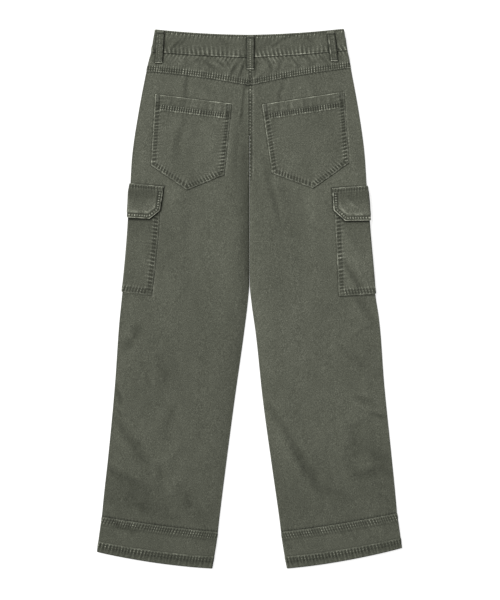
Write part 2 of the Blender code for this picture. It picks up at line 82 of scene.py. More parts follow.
Array = np.ndarray
Place = tuple[float, float]
Bar = tuple[Place, Place, float]  # a bar tack's two ends and its width
Material, Object, Socket = bpy.types.Material, bpy.types.Object, bpy.types.NodeSocket
Inputs = dict[str | int, object]  # a value, or another node's output, for each input of a node
Noises = tuple[tuple[float, float, float], ...]  # the size in millimetres, detail and weight of each

# ---------------------------------------------------------------- sizes shared by the pieces
LENGTH = 1040.2  # waist corner to the lowest point of the hem
WALL = 1.4  # one layer of twill with its turnings
WAISTBAND_WALL = 2.4
FLAP_WALL = 1.8
LOOP_WALL = 1.8
BAND_WALL = 1.8
FLY_WALL = 1.2
ZIP_WALL = 1.0
GAP = 0.3  # between cloth that lies on cloth
SEAM = 0.05  # each piece stops this far short of the seam line
CENTRE_GAP = 0.18  # and this far short of the centre line, where two edges meet
LAYERS = 2 * WALL + GAP
EDGE_AIR = 0.4
ROLL = (LAYERS + EDGE_AIR) / 2  # radius of the cloth where it turns over a leg's edge
PLATEAU = 40.0  # how far from a leg's edges its full loft is reached
INNER_SWELL = 24.0  # how far from the inner edge the back layer is highest
OUTER_SWELL = 14.0
OUTER_RISE = 0.8
YOKE_LIFT = 0.7  # of a piece's outer face over the layer's
WAISTBAND_LIFT = 1.1
BAND_LIFT = 0.5
FOLD_LIFT = 0.5  # of a turned-up hem over its band
POCKET_LIFT = GAP + WALL
FLAP_LIFT = GAP + FLAP_WALL
FLAP_STAND = 0.9  # how far a flap's loose edge stands off the pocket
CARGO_REACH = 94.0  # how far from the side seam a thigh pocket holds the front up
CARGO_FADE = 34.0
REST = 0.1  # between the surface and what lies lowest
FLOOR_CLEARANCE = 0.02
FLY_WIDTH = 36.0
FLY_TOP = 60.0
FLY_DOWN = 222.0
FLY_CORNER = 26.0
FLY_FADE = 34.0
ZIP_WIDTH = 24.0
ZIP_TOP = FLY_TOP
ZIP_LOW = 206.0
WAISTBAND_END = 15.0
LOOP_WIDTH = 14.0
LOOP_ARCH = 1.4  # how far a loop stands off the waistband
AIRED = 0.6  # more air between the layers of cloth, for folds to sink into
SEAT_HEM = 28.5  # depth of the turned top of a seat pocket
SEAT_HEM_LIFT = 0.6


class Side(Enum):
    """A leg, named from the wearer. The value is the sign of its X."""

    LEFT = -1
    RIGHT = 1

    @property
    def word(self) -> str:
        """The side's name as it ends a node's name."""
        return self.name.lower()


class Layer(Enum):
    """The back layer lies on top, the front layer on the surface."""

    BACK = 1
    FRONT = -1


@dataclass(frozen=True)
class Section:
    """A cross-section from the centre seam or inseam (inner) to the side seam (outer)."""

    name: str
    inner_down: float
    left_down: float
    right_down: float
    left_outer: float
    right_outer: float
    left_inner: float
    right_inner: float
    bow: float  # how far its middle sags towards the hem
    under: float  # how far the front layer is held off the surface
    loft: float  # air between the layers
    swell: float  # how far the back layer rises beside its inner edge


SECTIONS = (
    Section("waist_top", 11.7, 1.3, 0.0, 181.1, 180.8, 0, 0, 2.3, 3.4, 0.2, 0.0),
    Section("waist_seam", 55.6, 44.5, 42.0, 189.2, 188.7, 0, 0, 1.5, 3.4, 0.3, 0.0),
    Section("yoke_seam", 109.1, 81.8, 75.3, 198.7, 195.4, 0, 0, -2.9, 1.0, 0.8, 0.3),
    Section("seat_top", 187.7, 162.7, 158.8, 214.3, 210.8, 0, 0, -1.5, 0.0, 1.2, 0.8),
    Section("seat_low", 272.4, 247.4, 245.4, 226.6, 222.5, 0, 0, 0.0, 0.0, 1.4, 2.4),
    Section("flap_top", 324.4, 297.8, 301.6, 229.6, 226.0, 0, 0, 0.0, 0.0, 1.2, 3.2),
    Section("flap_low", 391.0, 364.0, 369.6, 232.6, 230.4, 0, 0, 0.0, 0.0, 1.2, 4.0),
    Section("crotch", 491.8, 466.8, 467.8, 240.8, 238.9, 0, 0, 0.0, 0.0, 1.4, 4.4),
    Section("pocket_low", 532.2, 507.2, 510.3, 245.0, 242.6, 3.6, 4.2, 0.0, 0.0, 1.4, 4.2),
    Section("thigh", 580.4, 555.4, 553.4, 250.1, 249.3, 9.6, 11.0, 0.0, 0.0, 1.4, 3.8),
    Section("knee", 715.1, 690.1, 688.2, 259.9, 260.3, 28.5, 25.6, 0.0, 0.0, 1.4, 2.4),
    Section("shin", 849.9, 822.9, 819.1, 272.4, 273.7, 46.2, 44.1, 0.0, 0.0, 1.2, 1.2),
    Section("ankle", 942.0, 912.4, 906.6, 282.2, 282.4, 57.6, 57.2, 1.5, 0.0, 0.8, 0.6),
    Section("band_seam", 969.6, 939.6, 933.1, 284.7, 284.7, 60.8, 60.8, 2.3, 1.05, 0.5, 0.3),
    Section("hem_fold", 1017.4, 988.3, 981.2, 291.1, 291.1, 68.1, 68.3, 4.0, 1.05, 0.5, 0.2),
    Section("hem", 1040.2, 1008.3, 1000.8, 293.4, 293.4, 72.4, 73.0, 4.6, 1.05, 0.5, 0.2),
)
ROW = {section.name: float(number) for number, section in enumerate(SECTIONS)}

# How far a cargo pocket and its flap hold the front layer off the surface, by cross-section.
CARGO_LIFTS = (
    (ROW["seat_low"] + 0.5, 0.0),
    (ROW["flap_top"], FLAP_LIFT + REST),
    (ROW["flap_top"] + 0.25, POCKET_LIFT + FLAP_LIFT + REST),
    (ROW["flap_low"], POCKET_LIFT + FLAP_LIFT + REST),
    (ROW["flap_low"] + 0.25, POCKET_LIFT + REST),
    (ROW["pocket_low"], POCKET_LIFT + REST),
    (ROW["pocket_low"] + 0.5, 0.0),
)


# ---------------------------------------------------------------- curves and uneven values
class Unevenness:
    """Smooth random values from -1 to 1 that are the same in every run."""

    CELLS = 256

    def __init__(self, seed: int) -> None:
        """Draws the lattice of values that the seed names."""
        self.table = np.random.default_rng(seed).uniform(-1, 1, (self.CELLS, self.CELLS))

    def at(self, a: Array, b: Array | float = 0.0) -> Array:
        """Reads the values at places counted in lattice cells.

        Args:
            a: places along the first direction.
            b: places along the second direction.

        Returns:
            The smooth values there.
        """
        a, b = np.broadcast_arrays(np.asarray(a, float), np.asarray(b, float))
        i, j = np.floor(a).astype(int), np.floor(b).astype(int)
        u, v = a - i, b - j
        u, v = u * u * (3 - 2 * u), v * v * (3 - 2 * v)
        i, j, i_next, j_next = (k % self.CELLS for k in (i, j, i + 1, j + 1))
        table = self.table
        near = table[i, j] * (1 - u) + table[i_next, j] * u
        far = table[i, j_next] * (1 - u) + table[i_next, j_next] * u
        return near * (1 - v) + far * v


CLOUDS = Unevenness(11)


def rise(value: Array, start: float, end: float) -> Array:
    """A smooth step from 0 at start to 1 at end."""
    t = np.clip((value - start) / (end - start), 0.0, 1.0)
    return t * t * (3 - 2 * t)


def hump(value: Array, middle: float, width: float) -> Array:
    """A smooth hump, 1 at its middle, that dies away over its width."""
    return np.exp(-(((value - middle) / width) ** 2))


def ripple(along: Array, across: Array, pitch: float, slant: float, seed: float) -> Array:
    """An uneven wave along a seam, as thread that draws cloth together makes it.

    Args:
        along: distance along the seam.
        across: distance from the seam.
        pitch: mean length of a wave.
        slant: how far a crest leans along the seam for each millimetre across it.
        seed: tells the waves of one seam from those of another.

    Returns:
        Values from about -1 to 1.
    """
    drift = 0.4 * CLOUDS.at(along / (4.4 * pitch), seed * 3.7)
    strength = 0.86 + 0.24 * CLOUDS.at(along / (1.7 * pitch), seed * 3.7 + 40.3)
    return strength * np.sin(2 * math.pi * ((along + slant * across) / pitch + drift))


def ramp(distance: Array, fade: float) -> Array:
    """1 up to a distance of 0, falling smoothly to 0 at fade."""
    return 1 - rise(distance, 0.0, fade)


def swelling(reach: Array, peak: float) -> Array:
    """A rise that starts at a leg's edge, is 1 at its peak and dies away past it."""
    t = np.maximum(reach - ROLL, 0) / peak
    return t * np.exp(1 - t)


def soft_maximum(a: Array, b: Array, blend: float = 0.5) -> Array:
    """The greater of two heights, with the corner between them rounded."""
    return (a + b + np.sqrt((a - b) ** 2 + blend**2)) / 2


def spaced(length: float, step: float, edge_steps: Sequence[float], start: float = SEAM) -> Array:
    """Positions along a length, close together at both ends, where the cloth turns.

    Args:
        length: the whole length.
        step: the spacing away from the ends.
        edge_steps: distances from the end of the positions near it.
        start: how far the first and last positions lie inside the ends.

    Returns:
        The positions, in order.
    """
    near = start + np.array(edge_steps)
    count = max(int(round((length - 2 * near[-1]) / step)), 2)
    inside = np.linspace(near[-1], length - near[-1], count + 1)[1:-1]
    return np.concatenate([near, inside, length - near[::-1]])


FOLDED_EDGE = (0.0, 0.12, 0.35, 0.7, 1.25, 2.0)
SEWN_EDGE = (0.0, 0.3, 0.8, 1.6)


@dataclass(frozen=True)
class Crease:
    """A soft trough between two low ridges, along a chain of (x, down) places."""

    places: tuple[Place, ...]
    width: float
    depth: float  # less than 0 for a ridge
    shade: float = 0.0  # how much painted shade darkens its trough, partly dye that stayed dark there
    spread: float = 1.0  # its width at the last place, in widths at the first

    def away(self, x: Array, down: Array) -> tuple[Array, Array]:
        """How far places lie from the wavering chain.

        Args:
            x: places across the garment.
            down: places down it.

        Returns:
            The square of the distance in widths, and a strength that fades towards the chain's ends.
        """
        waver = 0.35 * CLOUDS.at(x / 26 + self.width, down / 26) + 0.2 * CLOUDS.at(down / 9, x / 9)
        x = x + self.width * waver
        nearest, share = np.full(np.shape(x), np.inf), np.zeros(np.shape(x))
        spans = [math.hypot(b[0] - a[0], b[1] - a[1]) for a, b in zip(self.places, self.places[1:])]
        begun = 0.0
        for (x1, down1), (x2, down2), length in zip(self.places, self.places[1:], spans):
            along = (x2 - x1) / length, (down2 - down1) / length
            t = (x - x1) * along[0] + (down - down1) * along[1]
            off = (x - x1) * along[1] - (down - down1) * along[0]
            past = np.maximum(np.maximum(-t, t - length), 0.0)
            gap = off**2 + past**2
            share = np.where(gap < nearest, (begun + np.clip(t, 0, length)) / sum(spans), share)
            nearest = np.minimum(nearest, gap)
            begun += length
        away = nearest / (self.width * (1 + (self.spread - 1) * share)) ** 2
        return away, 0.45 + 0.55 * np.sin(math.pi * share) ** 0.8

    def height(self, x: Array, down: Array) -> Array:
        """How far the crease raises or lowers the cloth at these places.

        Args:
            x: places across the garment.
            down: places down it.

        Returns:
            The heights in millimetres.
        """
        away, strength = self.away(x, down)
        raised = 0.55 * abs(self.depth) * np.exp(-0.45 * away)
        return strength * (raised - self.depth * (1 - 2 * away) * np.exp(-away))

    def tone(self, x: Array, down: Array) -> Array:
        """Painted shade in the trough and painted light beside it, partly dye kept dark and rubbed off."""
        away, strength = self.away(x, down)
        # painted shade in the trough, painted light on its flanks
        return self.shade * strength * (0.35 * away * np.exp(1 - away) - np.exp(-away))


BROAD_FOLDS = 14  # the first of the back's creases, which fade out towards the leg's edges
BACK_CREASES = (
    Crease(((-116, 88), (-121, 122), (-123, 150)), 7, 1.3, 0.09, 1.3),
    Crease(((74, 90), (60, 126), (59, 150)), 9, 1.2, 0.09, 0.7),
    Crease(((28, 240), (45, 310), (57, 368)), 11, 1.5, 0.07, 0.8),
    Crease(((204, 508), (228, 545), (246, 572)), 10, 1.6, 0.13),
    Crease(((-212, 578), (-222, 600), (-240, 616)), 14, 1.4, 0.24),
    Crease(((-141, 722), (-152, 755)), 10, 0.7, 0.09, 1.6),
    Crease(((-262, 742), (-240, 775), (-217, 805), (-195, 835)), 13, 2.4, 0.16, 1.2),
    Crease(((-266, 853), (-235, 868), (-205, 884), (-169, 901)), 12, 1.6, 0.12, 1.4),
    Crease(((177, 612), (208, 640), (236, 664)), 12, 1.5, 0.08),
    Crease(((206, 712), (246, 726)), 9, 2.0, 0.12),
    Crease(((196, 776), (212, 764), (240, 756)), 14, 0.9, 0.05),
    Crease(((42, 727), (81, 792), (119, 855), (150, 893), (192, 911)), 10, 3.2, 0.16, 1.9),
    Crease(((206, 776), (196, 830), (216, 880)), 18, 1.0, 0.14),
    Crease(((202, 867), (232, 859), (273, 855)), 13, 1.7, 0.1),
    Crease(((-160, 768), (-166, 800)), 20, 0.8, 0.1),
    Crease(((-172, 842), (-167, 884)), 9, 0.7, 0.12),
    Crease(((-125, 172), (-132, 205), (-137, 250)), 13, 1.0, 0.07),
    Crease(((-169, 903), (-125, 866)), 18, -0.7, -0.05),
    Crease(((-104, 852), (-66, 846)), 9, 0.5, 0.08),
    Crease(((-203, 646), (-189, 690)), 9, 0.3, 0.05),
    Crease(((-172, 636), (-160, 684)), 13, 0.5, 0.12),
    Crease(((-255, 688), (-245, 722)), 7, 1.1, 0.2),
    Crease(((-252, 736), (-243, 748)), 5, 0.9, 0.18),
    Crease(((-262, 880), (-215, 905), (-150, 938)), 30, 0.5, 0.13),
    Crease(((-125, 890), (-92, 956)), 26, 0.5, 0.12),
    Crease(((-206, 922), (-188, 934)), 9, 0.9, 0.09),
    Crease(((-154, 940), (-134, 948)), 9, 0.9, 0.12),
    Crease(((-270, 845), (-260, 862)), 6, 0.8, 0.12),
    Crease(((-273, 904), (-258, 914)), 6, 0.7, 0.1),
    Crease(((-264, 950), (-240, 964), (-212, 969)), 9, 0.5, 0.16),
    Crease(((-180, 962), (-132, 966)), 11, 0.3, 0.12),
    Crease(((-275, 930), (-262, 950)), 7, 0.9, 0.14),
    Crease(((200, 597), (218, 582), (238, 573)), 5, 0.7, 0.08),
    Crease(((236, 742), (262, 750)), 6, 1.2, 0.32),
    Crease(((195, 690), (216, 699)), 8, 0.7, 0.06),
    Crease(((222, 790), (250, 838), (240, 890)), 30, 0.5, 0.16),
    Crease(((254, 900), (272, 914)), 8, 0.9, 0.09),
    Crease(((-9, 96), (-12, 130), (-16, 178)), 3.2, 0.6, 0.4),
    Crease(((-17, 175), (-24, 228), (-26, 280)), 9, 0.5, 0.1),
    Crease(((112, 89), (134, 124)), 9, 0.8, 0.08),
    Crease(((-98, 104), (-64, 133)), 9, 0.7, 0.07),
    Crease(((-15, 56), (-27, 74), (-36, 92)), 4, 1.3, 0.4),
    Crease(((-9, 64), (-17, 88), (-22, 100)), 3.5, 1.1, 0.42),
    Crease(((16, 56), (11, 78), (9, 90)), 3.5, 1.2, 0.42),
    Crease(((-46, 60), (-37, 72)), 4, 0.9, 0.24),
    Crease(((-68, 58), (-54, 68), (-40, 80)), 4, 0.9, 0.26),
    Crease(((-92, 58), (-76, 72), (-66, 78)), 5, 0.8, 0.18),
    Crease(((-110, 66), (-96, 60)), 5, 0.6, 0.08),
    Crease(((20, 92), (13, 104)), 4, 0.8, 0.3),
    Crease(((28, 56), (38, 66), (44, 80)), 4, 0.9, 0.26),
    Crease(((66, 60), (54, 82)), 6, 0.8, 0.18),
    Crease(((84, 58), (96, 74)), 4, 0.9, 0.2),
    Crease(((100, 52), (114, 58), (128, 70)), 4, 1.0, 0.3),
    Crease(((139, 55), (150, 66), (158, 76)), 4, 1.0, 0.3),
    Crease(((-133, 22), (-150, 42)), 4, 0.9, 0.26),
    Crease(((-122, 20), (-140, 38)), 4, 0.6, 0.18),
    Crease(((46, 34), (62, 24), (84, 14)), 5, 0.8, 0.18),
    Crease(((108, 14), (124, 28)), 5, 0.8, 0.18),
    Crease(((-62, 16), (-40, 34)), 6, 0.6, 0.12),
    Crease(((-167, 463), (-135, 436)), 18, 0.6, 0.06),
    Crease(((188, 378), (206, 416)), 12, 0.8, 0.13),
    Crease(((184, 448), (206, 482), (218, 504)), 9, 1.5, 0.27),
    Crease(((50, 958), (62, 984), (88, 1006)), 8, 0.8, 0.1),
    Crease(((98, 976), (108, 1000)), 6, 0.6, 0.06),
    Crease(((176, 964), (190, 982)), 5, 0.8, 0.1),
    Crease(((196, 969), (209, 986)), 5, 0.8, 0.1),
    Crease(((226, 964), (246, 982)), 6, 0.8, 0.11),
    Crease(((256, 950), (270, 968)), 6, 0.9, 0.11),
    Crease(((-262, 948), (-247, 960)), 6, 0.8, 0.1),
    Crease(((-235, 962), (-222, 972)), 8, 0.7, 0.08),
    Crease(((-112, 972), (-96, 986)), 12, 0.7, 0.08),
)
FRONT_FADE = 30.0  # how far from the leg's edges the front's creases reach their full height
FRONT_CREASES = (  # the hidden front lies on the surface, so its creases only lift it
    Crease(((-150, 640), (-205, 720)), 16, -0.5),
    Crease(((-95, 760), (-170, 850)), 18, -0.5),
    Crease(((-210, 870), (-120, 905)), 15, -0.4),
    Crease(((60, 600), (130, 680)), 16, -0.5),
    Crease(((210, 740), (130, 800)), 18, -0.5),
    Crease(((90, 850), (190, 905)), 15, -0.4),
    Crease(((-90, 250), (-150, 340)), 16, -0.4),
    Crease(((95, 260), (150, 350)), 16, -0.4),
)


def creased_tone(x: Array, down: Array) -> Array:
    """Painted shade and light of the back's creases, partly their dye."""
    uneven = 0.9 + 0.5 * CLOUDS.at(x / 15 + 5, down / 15)
    return uneven * sum(crease.tone(x, down) for crease in BACK_CREASES)


class Leg:
    """Both layers of one leg, from the waist to the hem."""

    SAMPLES = 3001

    def __init__(self, side: Side) -> None:
        """Works out the leg's curves through the table of cross-sections.

        Args:
            side: which leg.
        """
        self.side = side
        self.sign = side.value
        self.rows = np.linspace(0, len(SECTIONS) - 1, self.SAMPLES)
        word = side.word
        self.joined = rise(self.rows, ROW["crotch"] - 0.25, ROW["crotch"])
        self.curves = {
            "inner_down": self.curve("inner_down"),
            "outer_down": self.curve(f"{word}_down"),
            "inner": np.maximum(self.curve(f"{word}_inner"), CENTRE_GAP) * self.joined,
            "outer": self.curve(f"{word}_outer"),
            "bow": self.curve("bow"),
            "under": np.maximum(self.curve("under"), 0.0),
            "loft": self.curve("loft"),
            "swell": self.curve("swell"),
        }
        middle = (self.curves["inner_down"] + self.curves["outer_down"]) / 2
        self.curves["middle_down"] = middle

    def curve(self, name: str) -> Array:
        """A column of the section table as a smooth curve through its values.

        Args:
            name: the column.

        Returns:
            The curve at every sampled row.
        """
        values = np.array([getattr(section, name) for section in SECTIONS], float)
        at = np.array([section.inner_down for section in SECTIONS], float)
        slopes = np.gradient(values, at)
        low = np.clip(np.floor(self.rows).astype(int), 0, len(SECTIONS) - 2)
        t, span = self.rows - low, at[low + 1] - at[low]
        start, end = values[low], values[low + 1]
        leaving, arriving = slopes[low] * span, slopes[low + 1] * span
        return (
            start * (2 * t**3 - 3 * t**2 + 1)
            + leaving * (t**3 - 2 * t**2 + t)
            + end * (3 * t**2 - 2 * t**3)
            + arriving * (t**3 - t**2)
        )

    def value(self, name: str, s: Array) -> Array:
        """One of the leg's curves at row positions s."""
        return np.interp(s, self.rows, self.curves[name])

    def width(self, s: Array) -> Array:
        """The flat width of the leg at row positions s."""
        return self.value("outer", s) - self.value("inner", s)

    def down(self, s: Array, share: Array) -> Array:
        """How far down a place is, at a share of the way from the inner to the outer edge."""
        inner, outer = self.value("inner_down", s), self.value("outer_down", s)
        return inner + (outer - inner) * share + 4 * self.value("bow", s) * share * (1 - share)

    def row_through(self, down: Array, share_at: Callable[[Array], Array]) -> Array:
        """Finds the cross-section that passes through each place.

        Args:
            down: how far down each place is.
            share_at: gives each place's share of the width, for given row positions.

        Returns:
            The row positions.
        """
        low = np.zeros(np.shape(down))
        high = np.full(np.shape(down), float(len(SECTIONS) - 1))
        for _ in range(28):
            middle = (low + high) / 2
            above = self.down(middle, np.clip(share_at(middle), 0, 1)) < down
            low, high = np.where(above, middle, low), np.where(above, high, middle)
        return (low + high) / 2

    def row_at_x(self, x: Array, down: Array) -> Array:
        """The cross-section through each (x, down) place."""
        return self.row_through(down, lambda s: (np.abs(x) - self.value("inner", s)) / self.width(s))

    def row_at_turn(self, w: Array, down: Array) -> Array:
        """The cross-section through places given by their distance from the side seam."""
        return self.row_through(down, lambda s: 1 - np.abs(w) / self.width(s))

    def front_level(self, s: Array, x: Array, down: Array, w: Array) -> Array:
        """The height of the front layer's outer face.

        Args:
            s: row positions.
            x: places across the garment.
            down: places down it.
            w: distances from the side seam.

        Returns:
            The heights in millimetres.
        """
        rows, lifts = zip(*CARGO_LIFTS)
        cargo = np.interp(s, rows, lifts) * ramp(np.abs(w) - CARGO_REACH, CARGO_FADE)
        reach = FLY_WIDTH + FLY_FADE / 2 if self.side is Side.LEFT else 0.0
        fly = (GAP + FLY_WALL + REST) * self.over_fly(x, down, reach)
        plain = np.maximum(self.value("under", s), np.maximum(cargo, fly))
        inner = np.abs(x) - self.value("inner", s)
        inside = ramp(FRONT_FADE - np.abs(w), FRONT_FADE) * ramp(FRONT_FADE - inner, FRONT_FADE)
        lifted = sum(crease.height(x, down) for crease in FRONT_CREASES) * inside
        return plain + np.maximum(lifted, 0)

    @staticmethod
    def over_fly(x: Array, down: Array, reach: float) -> Array:
        """1 over the fly or the zip, falling to 0 around it."""
        return ramp(np.abs(x) - reach, FLY_FADE) * ramp(down - FLY_DOWN, FLY_FADE)

    def air(self, s: Array, x: Array, down: Array, w: Array) -> Array:
        """How far apart the two layers are, past where they lie together.

        Args:
            s: row positions.
            x: places across the garment.
            down: places down it.
            w: distances from the side seam.

        Returns:
            The gaps in millimetres.
        """
        reach, outer = self.width(s) - np.abs(w), np.abs(w)
        plateau = (1 - ramp(reach - ROLL, PLATEAU)) * (1 - ramp(outer - ROLL, PLATEAU))
        near_edge = rise(outer, ROLL, OUTER_SWELL)
        broad, small = BACK_CREASES[:BROAD_FOLDS], BACK_CREASES[BROAD_FOLDS:]
        folded = sum(crease.height(x, down) for crease in broad) * plateau
        folded = folded + sum(crease.height(x, down) for crease in small) * near_edge
        uneven = 0.35 * CLOUDS.at(x / 47, down / 61) + 0.16 * CLOUDS.at(x / 19 + 30, down / 25)
        soft = (self.value("loft", s) + AIRED) * plateau + folded + uneven * plateau
        soft = soft + self.value("swell", s) * swelling(reach, INNER_SWELL)
        soft = soft + OUTER_RISE * swelling(outer, OUTER_SWELL)
        zip_room = (ZIP_WALL + GAP) * self.over_fly(x, down, ZIP_WIDTH / 2 + FLY_FADE / 3)
        return soft_maximum(soft, zip_room) - 0.2 * near_edge + EDGE_AIR

    def points(self, s: Array, w: Array) -> Array:
        """Places on the smooth outer faces.

        Args:
            s: row positions.
            w: distance from the side seam, positive on the back layer, negative on the front.

        Returns:
            The points, with x, y and z on the last axis.
        """
        s, w = np.broadcast_arrays(np.asarray(s, float), np.asarray(w, float))
        width, inner = self.width(s), self.value("inner", s)
        reach = width - np.abs(w)
        down = self.down(s, np.clip(reach / width, 0, 1))
        x = self.sign * (inner + reach)
        front = self.front_level(s, x, down, w)
        back = front + LAYERS + self.air(s, x, down, w)
        middle, level = (front + back) / 2, np.where(w >= 0, back, front)
        joined = np.interp(s, self.rows, self.joined)
        inner_turn = 1 - joined * (1 - self.turned(reach))
        z = middle + (level - middle) * self.turned(np.abs(w)) * inner_turn
        return np.stack([x, LENGTH / 2 - down, z], axis=-1)

    @staticmethod
    def turned(distance: Array) -> Array:
        """How far the cloth has come up out of the roll at an edge, from 0 to 1."""
        t = np.clip(distance / ROLL, 0, 1)
        return np.sqrt(1 - (1 - t) ** 2)

    def row_for(self, start: float, positions: Array) -> Array:
        """Row positions at distances below a given row, measured down the middle of the leg."""
        middle = self.curves["middle_down"]
        return np.interp(np.interp(start, self.rows, middle) + positions, middle, self.rows)

    def span(self, first: float, last: float) -> float:
        """How far it is from one row to another, down the middle of the leg."""
        ends = np.interp([first, last], self.rows, self.curves["middle_down"])
        return float(ends[1] - ends[0])


LEGS = {side: Leg(side) for side in Side}


def surface(layer: Layer, x: Array, down: Array) -> Array:
    """Points of a layer at (x, down) places on either leg.

    Args:
        layer: the back or the front.
        x: places across the garment.
        down: places down it.

    Returns:
        The points, with x, y and z on the last axis.
    """
    halves = []
    for leg in LEGS.values():
        s = leg.row_at_x(x, down)
        w = leg.value("outer", s) - np.abs(x)
        w = np.maximum(w, 0.0) if layer is Layer.BACK else -np.maximum(w, 1e-6)
        halves.append(leg.points(s, w))
    return np.where((x < 0)[..., None], *halves)


# ---------------------------------------------------------------- walls of cloth
def tangents(points: Array, axis: int) -> Array:
    """Unit directions along the lines of a grid.

    Args:
        points: rows by columns by 3.
        axis: 0 along the columns, 1 along the rows.

    Returns:
        A direction at each point, as on a circle through it and its neighbours.
    """
    lines = np.moveaxis(points, axis, 0)
    steps = np.diff(lines, axis=0)
    sizes = np.linalg.norm(steps, axis=-1, keepdims=True)
    units = steps / np.maximum(sizes, 1e-9)
    inside = units[:-1] * sizes[1:] + units[1:] * sizes[:-1]
    inside /= np.maximum(np.linalg.norm(inside, axis=-1, keepdims=True), 1e-9)
    ends = []
    for unit, beside in ((units[0], inside[0]), (units[-1], inside[-1])):
        ends.append(2 * np.sum(unit * beside, axis=-1, keepdims=True) * unit - beside)
    return np.moveaxis(np.concatenate([ends[0][None], inside, ends[1][None]]), 0, axis)


def make_object(
    name: str,
    points: Array,
    faces: list[list[int]],
    finish: Material,
    wear: Array | None = None,
    flat: Array | None = None,
) -> Object:
    """Makes a mesh object at the origin.

    Args:
        name: the object's name.
        points: its points in millimetres.
        faces: the point numbers of each face, which point outwards unless the object is cloth.
        finish: its material.
        wear: for cloth, how rubbed (1) or dark (-1) it is at each point, from worn dye and from painted
            shade.
        flat: for cloth, each point's place on it before it was laid, in millimetres, for the weave.

    Returns:
        The object.
    """
    mesh = bpy.data.meshes.new(name)
    mesh.from_pydata((points * MM).tolist(), [], faces)
    if wear is not None:
        bm = bmesh.new()
        bm.from_mesh(mesh)
        bmesh.ops.recalc_face_normals(bm, faces=bm.faces)
        bm.to_mesh(mesh)
        bm.free()
        # the attribute holds worn dye together with painted shade, painted shadow and painted light
        mesh.attributes.new("wear", "FLOAT", "POINT").data.foreach_set("value", wear.astype(np.float32))
        corner = np.zeros(len(mesh.loops), np.int32)
        mesh.loops.foreach_get("vertex_index", corner)
        uv = mesh.uv_layers.new(name="cloth")
        uv.data.foreach_set("uv", (flat[corner] * MM).astype(np.float32).ravel())
    mesh.shade_smooth()
    mesh.set_sharp_from_angle(angle=SHARP_ANGLE)
    mesh.materials.append(finish)
    made = bpy.data.objects.new(name, mesh)
    bpy.context.scene.collection.objects.link(made)
    return made


